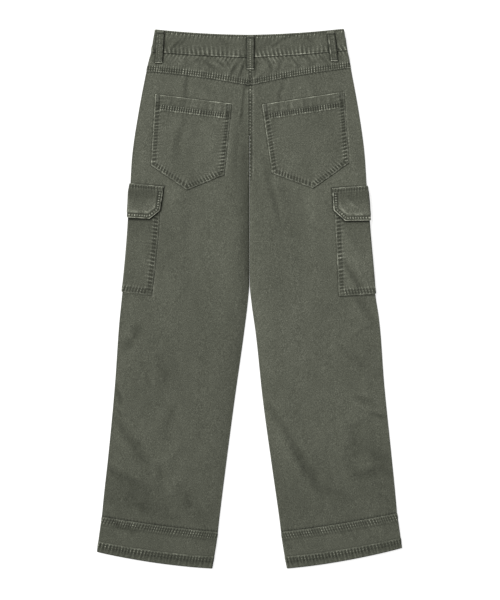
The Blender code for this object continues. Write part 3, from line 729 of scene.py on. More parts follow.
@dataclass
class Cloth:
    """A sheet of cloth as a grid of places on a layer, which becomes a closed wall."""

    node: str
    base: Array  # points on the layer's smooth outer face, rows by columns by 3
    wall: float
    lift: Array | float = 0.0  # of the wall's inner face over the base
    plan: Array | None = None  # each point's place on the flat cloth
    relief: Array | float = 0.0  # what puckers and folds add to the outer face
    wear: Array | float = 0.0
    border: Array | None = None  # distance to the nearest edge that is rounded
    centred: slice | None = None  # rows whose last column lies on the centre seam
    faces_up: bool = True
    rests_on: tuple[str, ...] = ()  # the nodes that it lies on
    rows: list[Array] = field(default_factory=list)  # its rows of stitches, as (x, down) places
    bars: list[Bar] = field(default_factory=list)
    normal: Array = field(init=False)
    outer: Array = field(init=False)

    INNER_STEP = 4  # the inner face has a line of points for every so many of the outer face's
    EDGE_DROP = 0.6  # share of the wall by which its outer face turns down at a folded edge
    EDGE_RADIUS = 0.8  # as a share of the wall

    def __post_init__(self) -> None:
        """Works out which way the cloth faces."""
        if self.plan is None:
            self.plan = np.stack([self.base[..., 0], LENGTH / 2 - self.base[..., 1]], axis=-1)
        normal = np.cross(tangents(self.base, 0), tangents(self.base, 1))
        if self.centred is not None:
            normal[self.centred, -1, 0] = 0
        rows, columns = normal.shape[:2]
        if (normal[rows // 2, columns // 4, 2] > 0) != self.faces_up:
            normal = -normal
        self.normal = normal / np.linalg.norm(normal, axis=-1, keepdims=True)

    def thicken(self) -> None:
        """Works out the outer face."""
        height = self.lift + self.wall + self.relief
        if self.border is not None:
            near = np.clip(self.border / (self.EDGE_RADIUS * self.wall), 0, 1)
            height = height - self.EDGE_DROP * self.wall * (1 - np.sqrt(1 - (1 - near) ** 2))
        self.outer = self.base + self.normal * np.broadcast_to(height, self.base.shape[:2])[..., None]
        self.outer[..., 2] = np.maximum(self.outer[..., 2], FLOOR_CLEARANCE)

    def build(self, finish: Material) -> Object:
        """Makes the closed wall.

        Args:
            finish: its material.

        Returns:
            The piece, which stands for its node and rides on the body.
        """
        self.thicken()
        rows, columns = self.base.shape[:2]
        lift = np.broadcast_to(self.lift, (rows, columns))[..., None]
        inner = self.base + self.normal * lift
        inner[..., 2] = np.maximum(inner[..., 2], 2 * FLOOR_CLEARANCE)
        kept = [np.unique(np.append(np.arange(0, n, self.INNER_STEP), n - 1)) for n in (rows, columns)]
        outer_at = np.arange(rows * columns).reshape(rows, columns)
        pick = np.ix_(*kept)
        inner_at = rows * columns + np.arange(inner[pick][..., 0].size).reshape(len(kept[0]), -1)
        faces = self.cells(outer_at) + [face[::-1] for face in self.cells(inner_at)]
        faces += self.rim(outer_at, inner_at, *kept)
        points = np.concatenate([self.outer.reshape(-1, 3), inner[pick].reshape(-1, 3)])
        wear = np.broadcast_to(self.wear, (rows, columns))
        wear = np.concatenate([np.clip(wear, -1, 1).ravel(), np.zeros(inner_at.size)])
        flat = np.concatenate([self.plan.reshape(-1, 2), self.plan[pick].reshape(-1, 2)])
        piece = make_object(f"{self.node}_cloth", points, faces, finish, wear, flat)
        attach(piece, "root")
        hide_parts(self.node)
        return piece

    @staticmethod
    def cells(at: Array) -> list[list[int]]:
        """The four-sided faces of a grid of point numbers."""
        corners = [at[:-1, :-1], at[:-1, 1:], at[1:, 1:], at[1:, :-1]]
        return np.stack(corners, axis=-1).reshape(-1, 4).tolist()

    @staticmethod
    def rim(outer: Array, inner: Array, kept_rows: Array, kept_columns: Array) -> list[list[int]]:
        """The faces that join the outer and the inner face round the four sides.

        Args:
            outer: the point numbers of the outer face.
            inner: those of the inner face.
            kept_rows: the rows that the inner face keeps.
            kept_columns: the columns that it keeps.

        Returns:
            The faces, as point numbers.
        """
        faces = []
        sides = (
            (outer[0], inner[0], kept_columns),
            (outer[-1][::-1], inner[-1][::-1], outer.shape[1] - 1 - kept_columns[::-1]),
            (outer[::-1, 0], inner[::-1, 0], outer.shape[0] - 1 - kept_rows[::-1]),
            (outer[:, -1], inner[:, -1], kept_rows),
        )
        for edge, under, kept in sides:
            for k in range(len(kept) - 1):
                stretch = edge[kept[k] : kept[k + 1] + 1].tolist()
                faces.append([*stretch[::-1], int(under[k]), int(under[k + 1])])
        return faces

    def declare(self, piece: Object, sewing: list[Object]) -> None:
        """Does nothing with the piece or its sewing.

        Args:
            piece: the cloth's object; not used.
            sewing: the objects that are sewn into it; not used.
        """

    def tree(self) -> BVHTree:
        """The outer face, to find heights on."""
        at = np.arange(self.outer[..., 0].size).reshape(self.outer.shape[:2])
        return BVHTree.FromPolygons(self.outer.reshape(-1, 3).tolist(), self.cells(at))


@dataclass(frozen=True)
class Outline:
    """A convex chain of sewn edges round a piece, as places on its flat cloth."""

    corners: tuple[Place, ...]
    inside: Place
    shade: float = 0.5  # how dark painted shade makes the cloth just outside it,
    shade_width: float = 1.0  # and how far out
    pale: float = 0.2  # how much paler painted light makes it outside the edges that face right, over the key light's shadow

    def edges(self) -> list[tuple[Array, Array, Array, float, float]]:
        """Each edge's first place, its direction, the way in, how far along it begins and its length.

        Returns:
            The edges, in the order of the corners.
        """
        found, begun = [], 0.0
        for start, end in zip(self.corners, self.corners[1:]):
            first, along = np.array(start, float), np.subtract(end, start).astype(float)
            length = float(np.hypot(*along))
            along /= length
            inward = np.array([-along[1], along[0]])
            if inward @ (np.array(self.inside) - first) < 0:
                inward = -inward
            found.append((first, along, inward, begun, length))
            begun += length
        return found

    def measure(self, p: Array, q: Array) -> tuple[Array, Array]:
        """Distances of places from the chain, and along it.

        Args:
            p: places across the flat cloth.
            q: places down the flat cloth.

        Returns:
            The distance in from the nearest edge, and the distance along the chain.
        """
        distance, along_chain = None, None
        for first, along, inward, begun, _ in self.edges():
            dp, dq = p - first[0], q - first[1]
            off, travel = dp * inward[0] + dq * inward[1], dp * along[0] + dq * along[1] + begun
            if distance is None:
                distance, along_chain = off, travel
            else:
                nearer = off < distance
                distance = np.where(nearer, off, distance)
                along_chain = np.where(nearer, travel, along_chain)
        return distance, along_chain

    def row(self, distance: float, short: float = 1.5) -> Array:
        """The chain moved in by a distance, with its two ends a little short.

        Args:
            distance: how far in.
            short: how far short.

        Returns:
            The corners of the moved chain.
        """
        edges = self.edges()
        places = [edges[0][0] + edges[0][2] * distance + edges[0][1] * short]
        for (a, u, inward, _, _), (b, v, other, _, _) in zip(edges, edges[1:]):
            a, b = a + inward * distance, b + other * distance
            t = np.linalg.solve(np.stack([u, -v], axis=1), b - a)[0]
            places.append(a + u * t)
        first, along, inward, _, length = edges[-1]
        return np.array([*places, first + along * (length - short) + inward * distance])


@dataclass(frozen=True)
class SewnEdge:
    """A folded edge that is sewn down, with its puckers and the dye that washing rubbed off it."""

    rows: tuple[float, ...] = (2.2, 8.6)  # the rows of stitches, in from the edge
    pitch: float = 8.0
    slant: float = 0.0
    pucker: float = 0.3
    edge_light: float = 0.8
    light: float = 1.0
    dark: float = 0.6
    inner_light: float = 0.2
    fade: float = 5.0
    seed: float = 1.0

    def band(self, distance: Array) -> Array:
        """1 between the first and the last row of stitches."""
        return between(distance, *self.ends)

    @property
    def ends(self) -> Place:
        """How far in the drawn-up cloth starts and ends."""
        reach = 1.5 if len(self.rows) == 1 else 0.0
        return self.rows[0] - reach, self.rows[-1] + reach

    def wave(self, distance: Array, along: Array) -> Array:
        """The puckers along the edge."""
        return ripple(along, distance, self.pitch, self.slant, self.seed)

    def relief(self, distance: Array, along: Array) -> Array:
        """How far the puckers raise or lower the outer face.

        Args:
            distance: how far in from the edge each place is.
            along: how far along the edge it is.

        Returns:
            The relief in millimetres.
        """
        wave, last = self.wave(distance, along), self.rows[-1]
        beyond = rise(distance, last, last + 1.0) * np.exp(-np.maximum(distance - last, 0) / self.fade)
        furrows = sum(hump(distance, row, 0.75) for row in self.rows)
        drawn = self.pucker * wave * (self.band(distance) + 0.6 * beyond)
        return (drawn + 0.1 * self.band(distance) - 0.22 * furrows) * (distance > -0.5)

    def tone(self, distance: Array, along: Array) -> Array:
        """How rubbed or dark the dye is.

        Args:
            distance: how far in from the edge each place is.
            along: how far along the edge it is.

        Returns:
            The wear.
        """
        wave, last = self.wave(distance, along), self.rows[-1]
        patchy = np.clip(0.7 + 0.85 * CLOUDS.at(along / 4.8, self.seed * 5.1), 0.0, 1.25)
        edge = self.edge_light * patchy * (1 - rise(distance, 0.7, 1.6))
        inner = self.inner_light * (0.4 + np.maximum(wave, 0)) * hump(distance, last + 1.4, 0.85)
        past = np.exp(-np.maximum(distance - last - 1, 0) / self.fade) * rise(distance, last, last + 1.5)
        drawn = drawn_tone(wave, distance, *self.ends, self.light, self.dark)
        return (edge + drawn + inner + 0.22 * wave * past) * (distance > -0.5)


def between(distance: Array, first: float, last: float) -> Array:
    """1 between two rows of stitches."""
    return rise(distance, first - 0.5, first + 0.6) * (1 - rise(distance, last - 0.6, last + 0.5))


def drawn_tone(
    wave: Array, distance: Array, first: float, last: float, light: float, dark: float
) -> Array:
    """Wear of cloth that is drawn up between two rows of stitches.

    Args:
        wave: its puckers.
        distance: from the edge.
        first: how far in the first row lies.
        last: how far in the last row lies.
        light: how pale the narrow crests are, which show most beside the rows.
        dark: how dark the dye stayed between them.

    Returns:
        The wear.
    """
    knots = np.linspace(first + 0.7, last - 0.5, 3 if last - first > 7 else 2)
    knotted = 0.3 + 0.9 * sum(hump(distance, knot, 1.0) for knot in knots)
    crests = light * np.maximum(wave, 0) ** 1.6 * np.minimum(knotted, 1.2)
    return between(distance, first, last) * (crests - dark * (0.8 + 0.4 * np.maximum(-wave, 0)))


# ---------------------------------------------------------------- finishes
def linear(hex_colour: str) -> tuple[float, float, float, float]:
    """An sRGB hex colour as linear RGBA.

    Args:
        hex_colour: the colour, such as #5f6156.

    Returns:
        Red, green, blue and alpha.
    """
    channels = [int(hex_colour[k : k + 2], 16) / 255 for k in (1, 3, 5)]
    red, green, blue = (c / 12.92 if c <= 0.04045 else ((c + 0.055) / 1.055) ** 2.4 for c in channels)
    return red, green, blue, 1.0


class Recipe:
    """A node material as it is put together."""

    def __init__(self, name: str) -> None:
        """Starts the material.

        Args:
            name: the material's name.
        """
        self.material = bpy.data.materials.new(name)
        self.material.use_nodes = True
        self.tree = self.material.node_tree
        self.place = self.add("TexCoord", "Object")

    def add(self, kind: str, output: str | int, inputs: Inputs | None = None, **settings: object) -> Socket:
        """Adds a node, sets it up and links it.

        Args:
            kind: the node's type, without the words that all types start with.
            output: the output that is wanted.
            inputs: a value, or another node's output, for each input by name or number.
            settings: the node's own properties.

        Returns:
            That output.
        """
        node = self.tree.nodes.new(f"ShaderNode{kind}")
        for name, value in settings.items():
            setattr(node, name, value)
        self.feed(node, inputs or {})
        return node.outputs[output]

    def feed(self, node: bpy.types.Node, inputs: Inputs) -> None:
        """Gives a node's inputs their values or links.

        Args:
            node: the node.
            inputs: a value, or another node's output, for each input by name or number.
        """
        for name, value in inputs.items():
            if isinstance(value, Socket):
                self.tree.links.new(value, node.inputs[name])
            else:
                node.inputs[name].default_value = value

    def sum(self, operation: str, *values: Socket | float) -> Socket:
        """The result of a Math node."""
        return self.add("Math", 0, dict(enumerate(values)), operation=operation)

    def noise(self, size: float, detail: float, place: Socket, roughness: float = 0.5) -> Socket:
        """Noise whose blotches are about as long as size, in the units of place."""
        inputs = {"Vector": place, "Scale": 1 / size, "Detail": detail, "Roughness": roughness}
        return self.add("TexNoise", "Fac", inputs)

    def mix(self, share: Socket, dark: str, light: str) -> Socket:
        """Two hex colours, mixed by a share."""
        return self.add("Mix", 2, {0: share, 6: linear(dark), 7: linear(light)}, data_type="RGBA")

    def bump(self, height: Socket, distance: float, strength: float = 1.0) -> Socket:
        """A surface whose height is given in units of distance."""
        return self.add("Bump", "Normal", {"Height": height, "Distance": distance, "Strength": strength})

    def surface(self, inputs: Inputs) -> Material:
        """Gives the surface its colour and qualities, and hands over the material."""
        self.feed(self.tree.nodes["Principled BSDF"], inputs)
        return self.material


@dataclass(frozen=True)
class GarmentDyedTwill:
    """Heavy cotton twill that was dyed and tumbled as a finished garment.

    Garment dye sits unevenly: it clouds the cloth, stays dark in furrows where seams pucker and rubs
    off raised edges. Washed cotton is matt, with a faint bloom of loose fibres. Its darker and paler
    colours also show the painted shade, painted shadow and painted light that the pieces add.
    """

    name: str = "garment_dyed_twill"
    # the darkest: dye left in furrows, and painted shadow beside flaps, loops and lapped edges
    furrow: str = "#20221a"
    deep: str = "#404238"
    ground: str = "#505247"
    # paler: rubbed dye, and painted light beside edges that face right and along ridges
    rubbed: str = "#66685c"
    bare: str = "#b4b6a5"
    twill_pitch: float = 1.3  # real twill lines lie 0.7 mm apart; wider, so that they show
    fleck_roughness: float = 0.55

    STRETCH = (1.25 / MM, 0.7 / MM, 1 / MM)  # flecks are longer along the warp
    CLOUDING = ((75.0, 1.0, 0.08), (16.0, 2.0, 0.09), (4.5, 1.0, 0.09), (1.5, 1.0, 0.62))
    CRUMPLING = ((1.6, 1.0, 0.3), (7.0, 3.0, 0.6))  # slubs, and what washing left

    def make(self) -> Material:
        """Builds the material.

        Returns:
            The material.
        """
        made = Recipe(self.name)
        spot = made.add("VectorMath", "Vector", {0: made.place, 1: self.STRETCH}, operation="MULTIPLY")
        darkest = 0.5 - sum(weight for _, _, weight in self.CLOUDING) / 2
        tone = self.added(made, spot, self.CLOUDING, darkest)
        # worn dye together with painted shade, painted shadow and painted light, as each piece works them
        # out
        wear = made.add("Attribute", "Fac", attribute_name="wear")
        broken = made.sum("MULTIPLY_ADD", made.noise(2.4, 2.0, spot, self.fleck_roughness), 1.1, 0.45)
        total = made.sum("MULTIPLY_ADD", made.sum("MULTIPLY", wear, broken), 0.5, tone)
        return made.surface({
            "Base Color": self.dyed(made, total),
            "Normal": self.weave(made, spot),
            "Roughness": 0.92,
            "Specular IOR Level": 0.25,
            "Sheen Weight": 0.12,
            "Sheen Roughness": 0.5,
        })

    def added(self, made: Recipe, spot: Socket, noises: Noises, start: Socket | float) -> Socket:
        """Adds noises, each by its own weight.

        Args:
            made: the material.
            spot: the place on the cloth.
            noises: the noises.
            start: what they are added to.

        Returns:
            The sum.
        """
        for size, detail, weight in noises:
            noise = made.noise(size, detail, spot, self.fleck_roughness)
            start = made.sum("MULTIPLY_ADD", noise, weight, start)
        return start

    def dyed(self, made: Recipe, tone: Socket) -> Socket:
        """The dye's colour, from the darkest of the furrows and painted shadows to that of a bare edge.

        Args:
            made: the material.
            tone: how bare the cloth is, from 0 to 1.

        Returns:
            The colour.
        """
        colour = made.add("ValToRGB", "Color", {"Fac": tone})
        stops = {0.05: self.furrow, 0.36: self.deep, 0.5: self.ground, 0.64: self.rubbed, 0.97: self.bare}
        elements = colour.node.color_ramp.elements
        while len(elements) < len(stops):
            elements.new(0.5)
        for element, (position, shade) in zip(elements, stops.items()):
            element.position, element.color = position, linear(shade)
        return colour

    def weave(self, made: Recipe, spot: Socket) -> Socket:
        """The surface: diagonal twill lines, slubs and crumples.

        Args:
            made: the material.
            spot: the place on the cloth.

        Returns:
            The direction that the surface faces.
        """
        cloth = made.add("UVMap", "UV", uv_map="cloth")
        across = made.add("SeparateXYZ", "X", {0: cloth})
        diagonal = made.sum("ADD", across, across.node.outputs["Y"])
        phase = made.sum("MULTIPLY", diagonal, 2 * math.pi / (self.twill_pitch * math.sqrt(2) * MM))
        lines = made.sum("MULTIPLY_ADD", made.sum("SINE", phase), 0.035, 0.0)
        return made.bump(self.added(made, spot, self.CRUMPLING, lines), MM, 0.8)


@dataclass(frozen=True)
class SewingThread:
    """Corespun cotton thread, dyed with the cloth: a little paler, with a soft twisted gleam."""

    name: str = "sewing_thread"
    colour: str = "#5f6156"
    dark: str = "#494b41"

    def make(self) -> Material:
        """Builds the material, with the thread's colour varying in blotches of about 1.2 mm.

        Returns:
            The material.
        """
        made = Recipe(self.name)
        colour = made.mix(made.noise(1.2 * MM, 1.0, made.place), self.dark, self.colour)
        return made.surface({"Base Color": colour, "Roughness": 0.7, "Specular IOR Level": 0.35})


@dataclass(frozen=True)
class TapeWeave:
    """Polyester zip tape: a close flat herringbone with a faint gleam."""

    name: str = "woven_tape"
    colour: str = "#4b4e42"
    dark: str = "#3a3c33"

    def make(self) -> Material:
        """Builds the material, with ribs 1 mm apart along the tape.

        Returns:
            The material.
        """
        made = Recipe(self.name)
        inputs = {"Vector": made.place, "Scale": 1 / (6.3 * MM), "Distortion": 0.4}
        ribs = made.add("TexWave", "Fac", inputs, wave_type="BANDS", bands_direction="DIAGONAL")
        colour = made.mix(ribs, self.dark, self.colour)
        return made.surface({"Base Color": colour, "Normal": made.bump(ribs, 0.1 * MM), "Roughness": 0.6})


@dataclass(frozen=True)
class AgedSteel:
    """Stamped steel with an antique plating, tumbled with the garment until its rims turned pale."""

    name: str = "aged_steel"
    colour: str = "#8d877a"
    dark: str = "#4d493f"

    def make(self) -> Material:
        """Builds the material: a metal whose plating is cloudy, with scratches of 0.5 mm.

        Returns:
            The material.
        """
        made = Recipe(self.name)
        colour = made.mix(made.noise(3 * MM, 4.0, made.place), self.dark, self.colour)
        scratched = made.bump(made.noise(0.5 * MM, 3.0, made.place), 0.05 * MM)
        return made.surface({"Base Color": colour, "Normal": scratched, "Metallic": 1.0, "Roughness": 0.42})


@dataclass(frozen=True)
class OpalTable:
    """White opal acrylic, lit from below: it sends back a third of the light and hardly shows a shadow."""

    name: str = "opal_table"
    colour: str = "#a3a3a1"
    dark: str = "#a0a09e"
    glow: float = 0.78

    def make(self) -> Material:
        """Builds the material, with a very faint unevenness of the acrylic.

        Returns:
            The material.
        """
        made = Recipe(self.name)
        return made.surface({
            "Base Color": made.mix(made.noise(25 * MM, 3.0, made.place), self.dark, self.colour),
            "Roughness": 0.95,
            "Specular IOR Level": 0.1,
            "Emission Color": (1.0, 1.0, 1.0, 1.0),
            "Emission Strength": self.glow,
        })


# ---------------------------------------------------------------- grids on the legs
def run(points: Array, axis: int, backwards: bool = False) -> Array:
    """Distances along the lines of a grid from its first line, or from its last.

    Args:
        points: the grid.
        axis: 0 for lines that go down, 1 for lines that go across.
        backwards: whether the last line is where they start.

    Returns:
        The distances.
    """
    steps = np.linalg.norm(np.diff(points, axis=axis), axis=-1)
    total = np.concatenate([np.zeros_like(np.take(steps, [0], axis)), np.cumsum(steps, axis)], axis)
    return np.take(total, [-1], axis) - total if backwards else total


class Grid:
    """A piece's points on its layer, with how far each lies from the piece's edges."""

    def __init__(self, points: Array) -> None:
        """Measures the points.

        Args:
            points: rows by columns by 3.
        """
        self.points = points
        self.x, self.down = points[..., 0], LENGTH / 2 - points[..., 1]
        self.top, self.low, self.along = run(points, 0), run(points, 0, True), run(points, 1)

    @property
    def plan(self) -> Array:
        """Each point's place on the flat cloth: along its row, and down."""
        start = self.x[:, :1]
        return np.stack([start + np.sign(self.x[:, -1:] - start) * self.along, self.down], axis=-1)

    def seam_rows(self, distances: Sequence[float], from_low: bool) -> list[Array]:
        """Rows of stitches that follow the top or bottom edge.

        Args:
            distances: how far in from the edge the rows lie.
            from_low: whether they follow the bottom edge.

        Returns:
            Each row as (x, down) places.
        """
        rows = []
        for distance in distances:
            at = np.argmin(np.abs((self.low if from_low else self.top) - distance), axis=0)
            found = self.points[at, np.arange(len(at))]
            keep = np.abs(found[:, 2] - np.median(found[:, 2])) < 4.0
            rows.append(np.stack([found[keep, 0], LENGTH / 2 - found[keep, 1]], axis=-1))
        return rows


def across_leg(leg: Leg, s: Array, step: float, turns: int = 7) -> Array:
    """Distances from the side seam of a panel's columns, close together where the cloth turns.

    Args:
        leg: the leg.
        s: row positions.
        step: the spacing between the two edges.
        turns: how many columns lie on each turned edge.

    Returns:
        A row of distances for each row position.
    """
    turned = ROLL * (1 - np.cos(np.linspace(0, math.pi / 2, turns)))
    turned = SEAM + turned * (ROLL - SEAM) / ROLL
    flat = np.linspace(SEAM, ROLL, turns)
    joined = np.interp(s, leg.rows, leg.joined)[:, None]
    width = leg.width(s)[:, None]
    inner = flat * (1 - joined) + turned * joined
    inside = np.linspace(0, 1, max(int(round(width.max() / step)), 3))[1:-1]
    middle = ROLL + (width - 2 * ROLL) * inside
    outer = np.broadcast_to(turned, (len(s), turns))
    return np.concatenate([outer, middle, width - inner[:, ::-1]], axis=1)


def panel(
    leg: Leg, layer: Layer, first: str, last: str, steps: Place, edges: Sequence[float] = SEWN_EDGE
) -> tuple[Grid, Array]:
    """The grid of a piece that goes from a leg's side seam to its inner edge.

    Args:
        leg: the leg.
        layer: its back or its front.
        first: the section that it starts at.
        last: the section that it ends at.
        steps: its spacing across and down.
        edges: distances from its top and bottom edges of the lines near them.

    Returns:
        The grid and the row positions.
    """
    s = leg.row_for(ROW[first], spaced(leg.span(ROW[first], ROW[last]), steps[1], edges))
    return Grid(leg.points(s[:, None], across_leg(leg, s, steps[0]) * layer.value)), s


# ---------------------------------------------------------------- the centre seam
class CentreSeam:
    """The back's centre seam: a flat fell with a ladder of puckers, plain below it."""

    FELL_LOW = 288.0  # the fell turns under the crotch side here
    LEFT_EDGE = -2.3
    LADDER_X = 1.2
    LADDER_WIDTH = 3.8
    EDGE_X = 7.6
    PITCH = 7.9

    @classmethod
    def fell(cls, x: Array, down: Array) -> tuple[Array, Array]:
        """How much of the fell is at these places, and the waves of its ladder."""
        wave = ripple(down, np.zeros_like(x), cls.PITCH, 0.0, 9.3)
        return 1 - rise(down, cls.FELL_LOW - 5, cls.FELL_LOW + 5), wave

    @classmethod
    def relief(cls, x: Array, down: Array) -> Array:
        """How far the seam raises the cloth.

        Args:
            x: places across the garment.
            down: places down it.

        Returns:
            The relief in millimetres.
        """
        fell, wave = cls.fell(x, down)
        band = rise(x, cls.LEFT_EDGE - 0.6, cls.LEFT_EDGE + 0.6)
        band = band * (1 - rise(x, cls.EDGE_X - 0.4, cls.EDGE_X + 0.6))
        felled = 0.4 * band + 0.3 * wave * hump(x, cls.LADDER_X, 3.2)
        felled = felled - 0.25 * hump(x, cls.EDGE_X - 1.2, 0.6) - 0.2 * hump(x, cls.LEFT_EDGE + 1.0, 0.6)
        below = np.interp(down, [cls.FELL_LOW, cls.FELL_LOW + 12, 480, 500], [0, 1, 1, 0])
        return fell * felled + below * (0.2 * hump(x, 3.4, 3.0) - 0.6 * hump(x, -1.2, 1.6))

    @classmethod
    def tone(cls, x: Array, down: Array) -> Array:
        """How rubbed or dark the dye is along the seam, with a painted shadow below the fell.

        Args:
            x: places across the garment.
            down: places down it.

        Returns:
            The wear, with the painted shadow.
        """
        fell, wave = cls.fell(x, down)
        patchy = 0.8 + 0.4 * CLOUDS.at(down / 14.0, 3.3)
        ladder = -0.7 * hump(x, -0.8, 1.4) - 0.6 * hump(x, 3.2, 1.4) + 0.2 * wave * hump(x, 1.2, 4.0)
        for column, light, shift in ((0.0, 1.25, 0.0), (cls.LADDER_WIDTH, 0.5, cls.PITCH / 2)):
            dots = np.maximum(ripple(down + shift, np.zeros_like(x), cls.PITCH / 1.3, 0.0, 9.9), 0)
            ladder = ladder + light * dots**1.5 * hump(x, cls.LADDER_X + column, 1.1)
        dotted = np.clip(0.8 + 0.8 * ripple(down, x, 3.9, 0.0, 10.4), 0.1, 1.5)
        edges = 0.34 * dotted * hump(x, cls.EDGE_X, 1.3) + 0.2 * hump(x, cls.LEFT_EDGE - 0.6, 0.8)
        below = rise(down, cls.FELL_LOW - 2, cls.FELL_LOW + 12)
        # below the fell: a painted shadow left of the centre line, where the right half lies over the left
        valley = 0.08 * hump(x, 2.6, 2.0) - 0.6 * hump(x, -1.2, 1.2)
        # paler right of the seam and darker left of it, where the yoke seam crosses
        crossing_marks = 0.35 * hump(x, 1.6, 4.0) * hump(down, 119, 6) - 0.5 * hump(x, -5.8, 2.2) * hump(down, 109, 6)
        return fell * (patchy * edges + ladder) + below * valley + crossing_marks

    @classmethod
    def rows(cls, side: Side, top: float, low: float) -> list[Array]:
        """One leg's share of its two rows of stitches between two heights, as (x, down) places.

        Args:
            side: which leg.
            top: how far down they start.
            low: how far down they end.

        Returns:
            The rows.
        """
        low = min(low, cls.FELL_LOW)
        places = (cls.LEFT_EDGE + 1.0, cls.EDGE_X - 1.2)
        return [np.array([(x, top + 2.0), (x, low - 2.0)]) for x in places if x * side.value > 0]


# ---------------------------------------------------------------- belt loops' places
@dataclass(frozen=True)
class LoopPlace:
    """Where a belt loop lies, from its top to its lower end, as (x, down) places."""

    name: str
    layer: Layer
    x_top: float
    down_top: float
    x_low: float
    down_low: float
    lines: tuple[tuple[float, float, float], ...] = ()  # rubbed lines: place, strength, dash length


FRONT_LOOP_LINES = ((-5.0, 0.4, 9.0), (5.0, 0.4, 9.0))
LOOP_PLACES = (
    LoopPlace(
        "belt_loop_back_left", Layer.BACK, -170.7, 3.6, -174.4, 65.8,
        ((-5.6, 0.35, 9.0), (-1.2, 0.5, 4.4), (1.6, 0.3, 9.0), (5.4, 0.4, 12.0)),
    ),
    LoopPlace(
        "belt_loop_back_centre", Layer.BACK, 1.8, 12.4, 1.8, 78.2,
        ((-3.4, 0.3, 6.0), (-0.4, 0.75, 4.2), (4.8, 0.3, 14.0)),
    ),
    LoopPlace(
        "belt_loop_back_right", Layer.BACK, 156.0, 5.2, 163.5, 62.8,
        ((-5.6, 0.75, 16.0), (-0.6, 0.25, 6.0), (3.4, 0.4, 9.0)),
    ),
    LoopPlace("belt_loop_front_left", Layer.FRONT, -96.0, 9.6, -98.0, 70.0, FRONT_LOOP_LINES),
    LoopPlace("belt_loop_front_right", Layer.FRONT, 96.0, 9.6, 98.0, 70.0, FRONT_LOOP_LINES),
)


def loop_shade(x: Array, down: Array) -> Array:
    """Painted shade beside and below the back's belt loops.

    Args:
        x: places across the garment.
        down: places down it.

    Returns:
        The painted shade that the loops add.
    """
    total = np.zeros_like(x)
    for loop in LOOP_PLACES:
        if loop.layer is Layer.FRONT:
            continue
        t = (down - loop.down_top) / (loop.down_low - loop.down_top)
        off = x - (loop.x_top + (loop.x_low - loop.x_top) * t)
        beside = np.abs(off) - LOOP_WIDTH / 2
        along = rise(t, 0.02, 0.12) * (1 - rise(t, 0.97, 1.03))
        # painted shade along both sides, heavier on the left, and a painted shadow below the lower end
        corner = np.where(beside > -1, hump(beside, 0.5, 1.5), 0.0) * along * np.where(off > 0, 0.25, 0.6)
        soft = 0.16 * np.exp(-np.maximum(beside, 0) / 5.0) * along
        below = hump(down - loop.down_low, 0.9, 1.3) * (1 - rise(beside, -1.0, 0.5))
        total = total - corner - soft - 0.8 * below
    return total


def sewn_on_shade(outlines: Sequence[Outline], x: Array, down: Array) -> Array:
    """Painted shade in the corner beside sewn-on edges, and painted light beside those that face right.

    Args:
        outlines: the sewn edges.
        x: places across the garment.
        down: places down it.

    Returns:
        The painted shade and light that they add.
    """
    total = np.zeros_like(x)
    for outline in outlines:
        off, _ = outline.measure(x, down)
        facing_right = rise(off - outline.measure(x + 1.0, down)[0], 0.75, 0.95)
        held = 1 - facing_right * (outline.pale > 0)
        # painted shade outside each edge, and painted light outside those that face right, where the key
        # light's real shadow falls
        dark = outline.shade * hump(off, -0.6, outline.shade_width) * held
        pale = outline.pale * hump(off, -1.8, 2.2) * facing_right
        total = total + np.where(off < 1.0, pale - dark, 0.0)
    return total


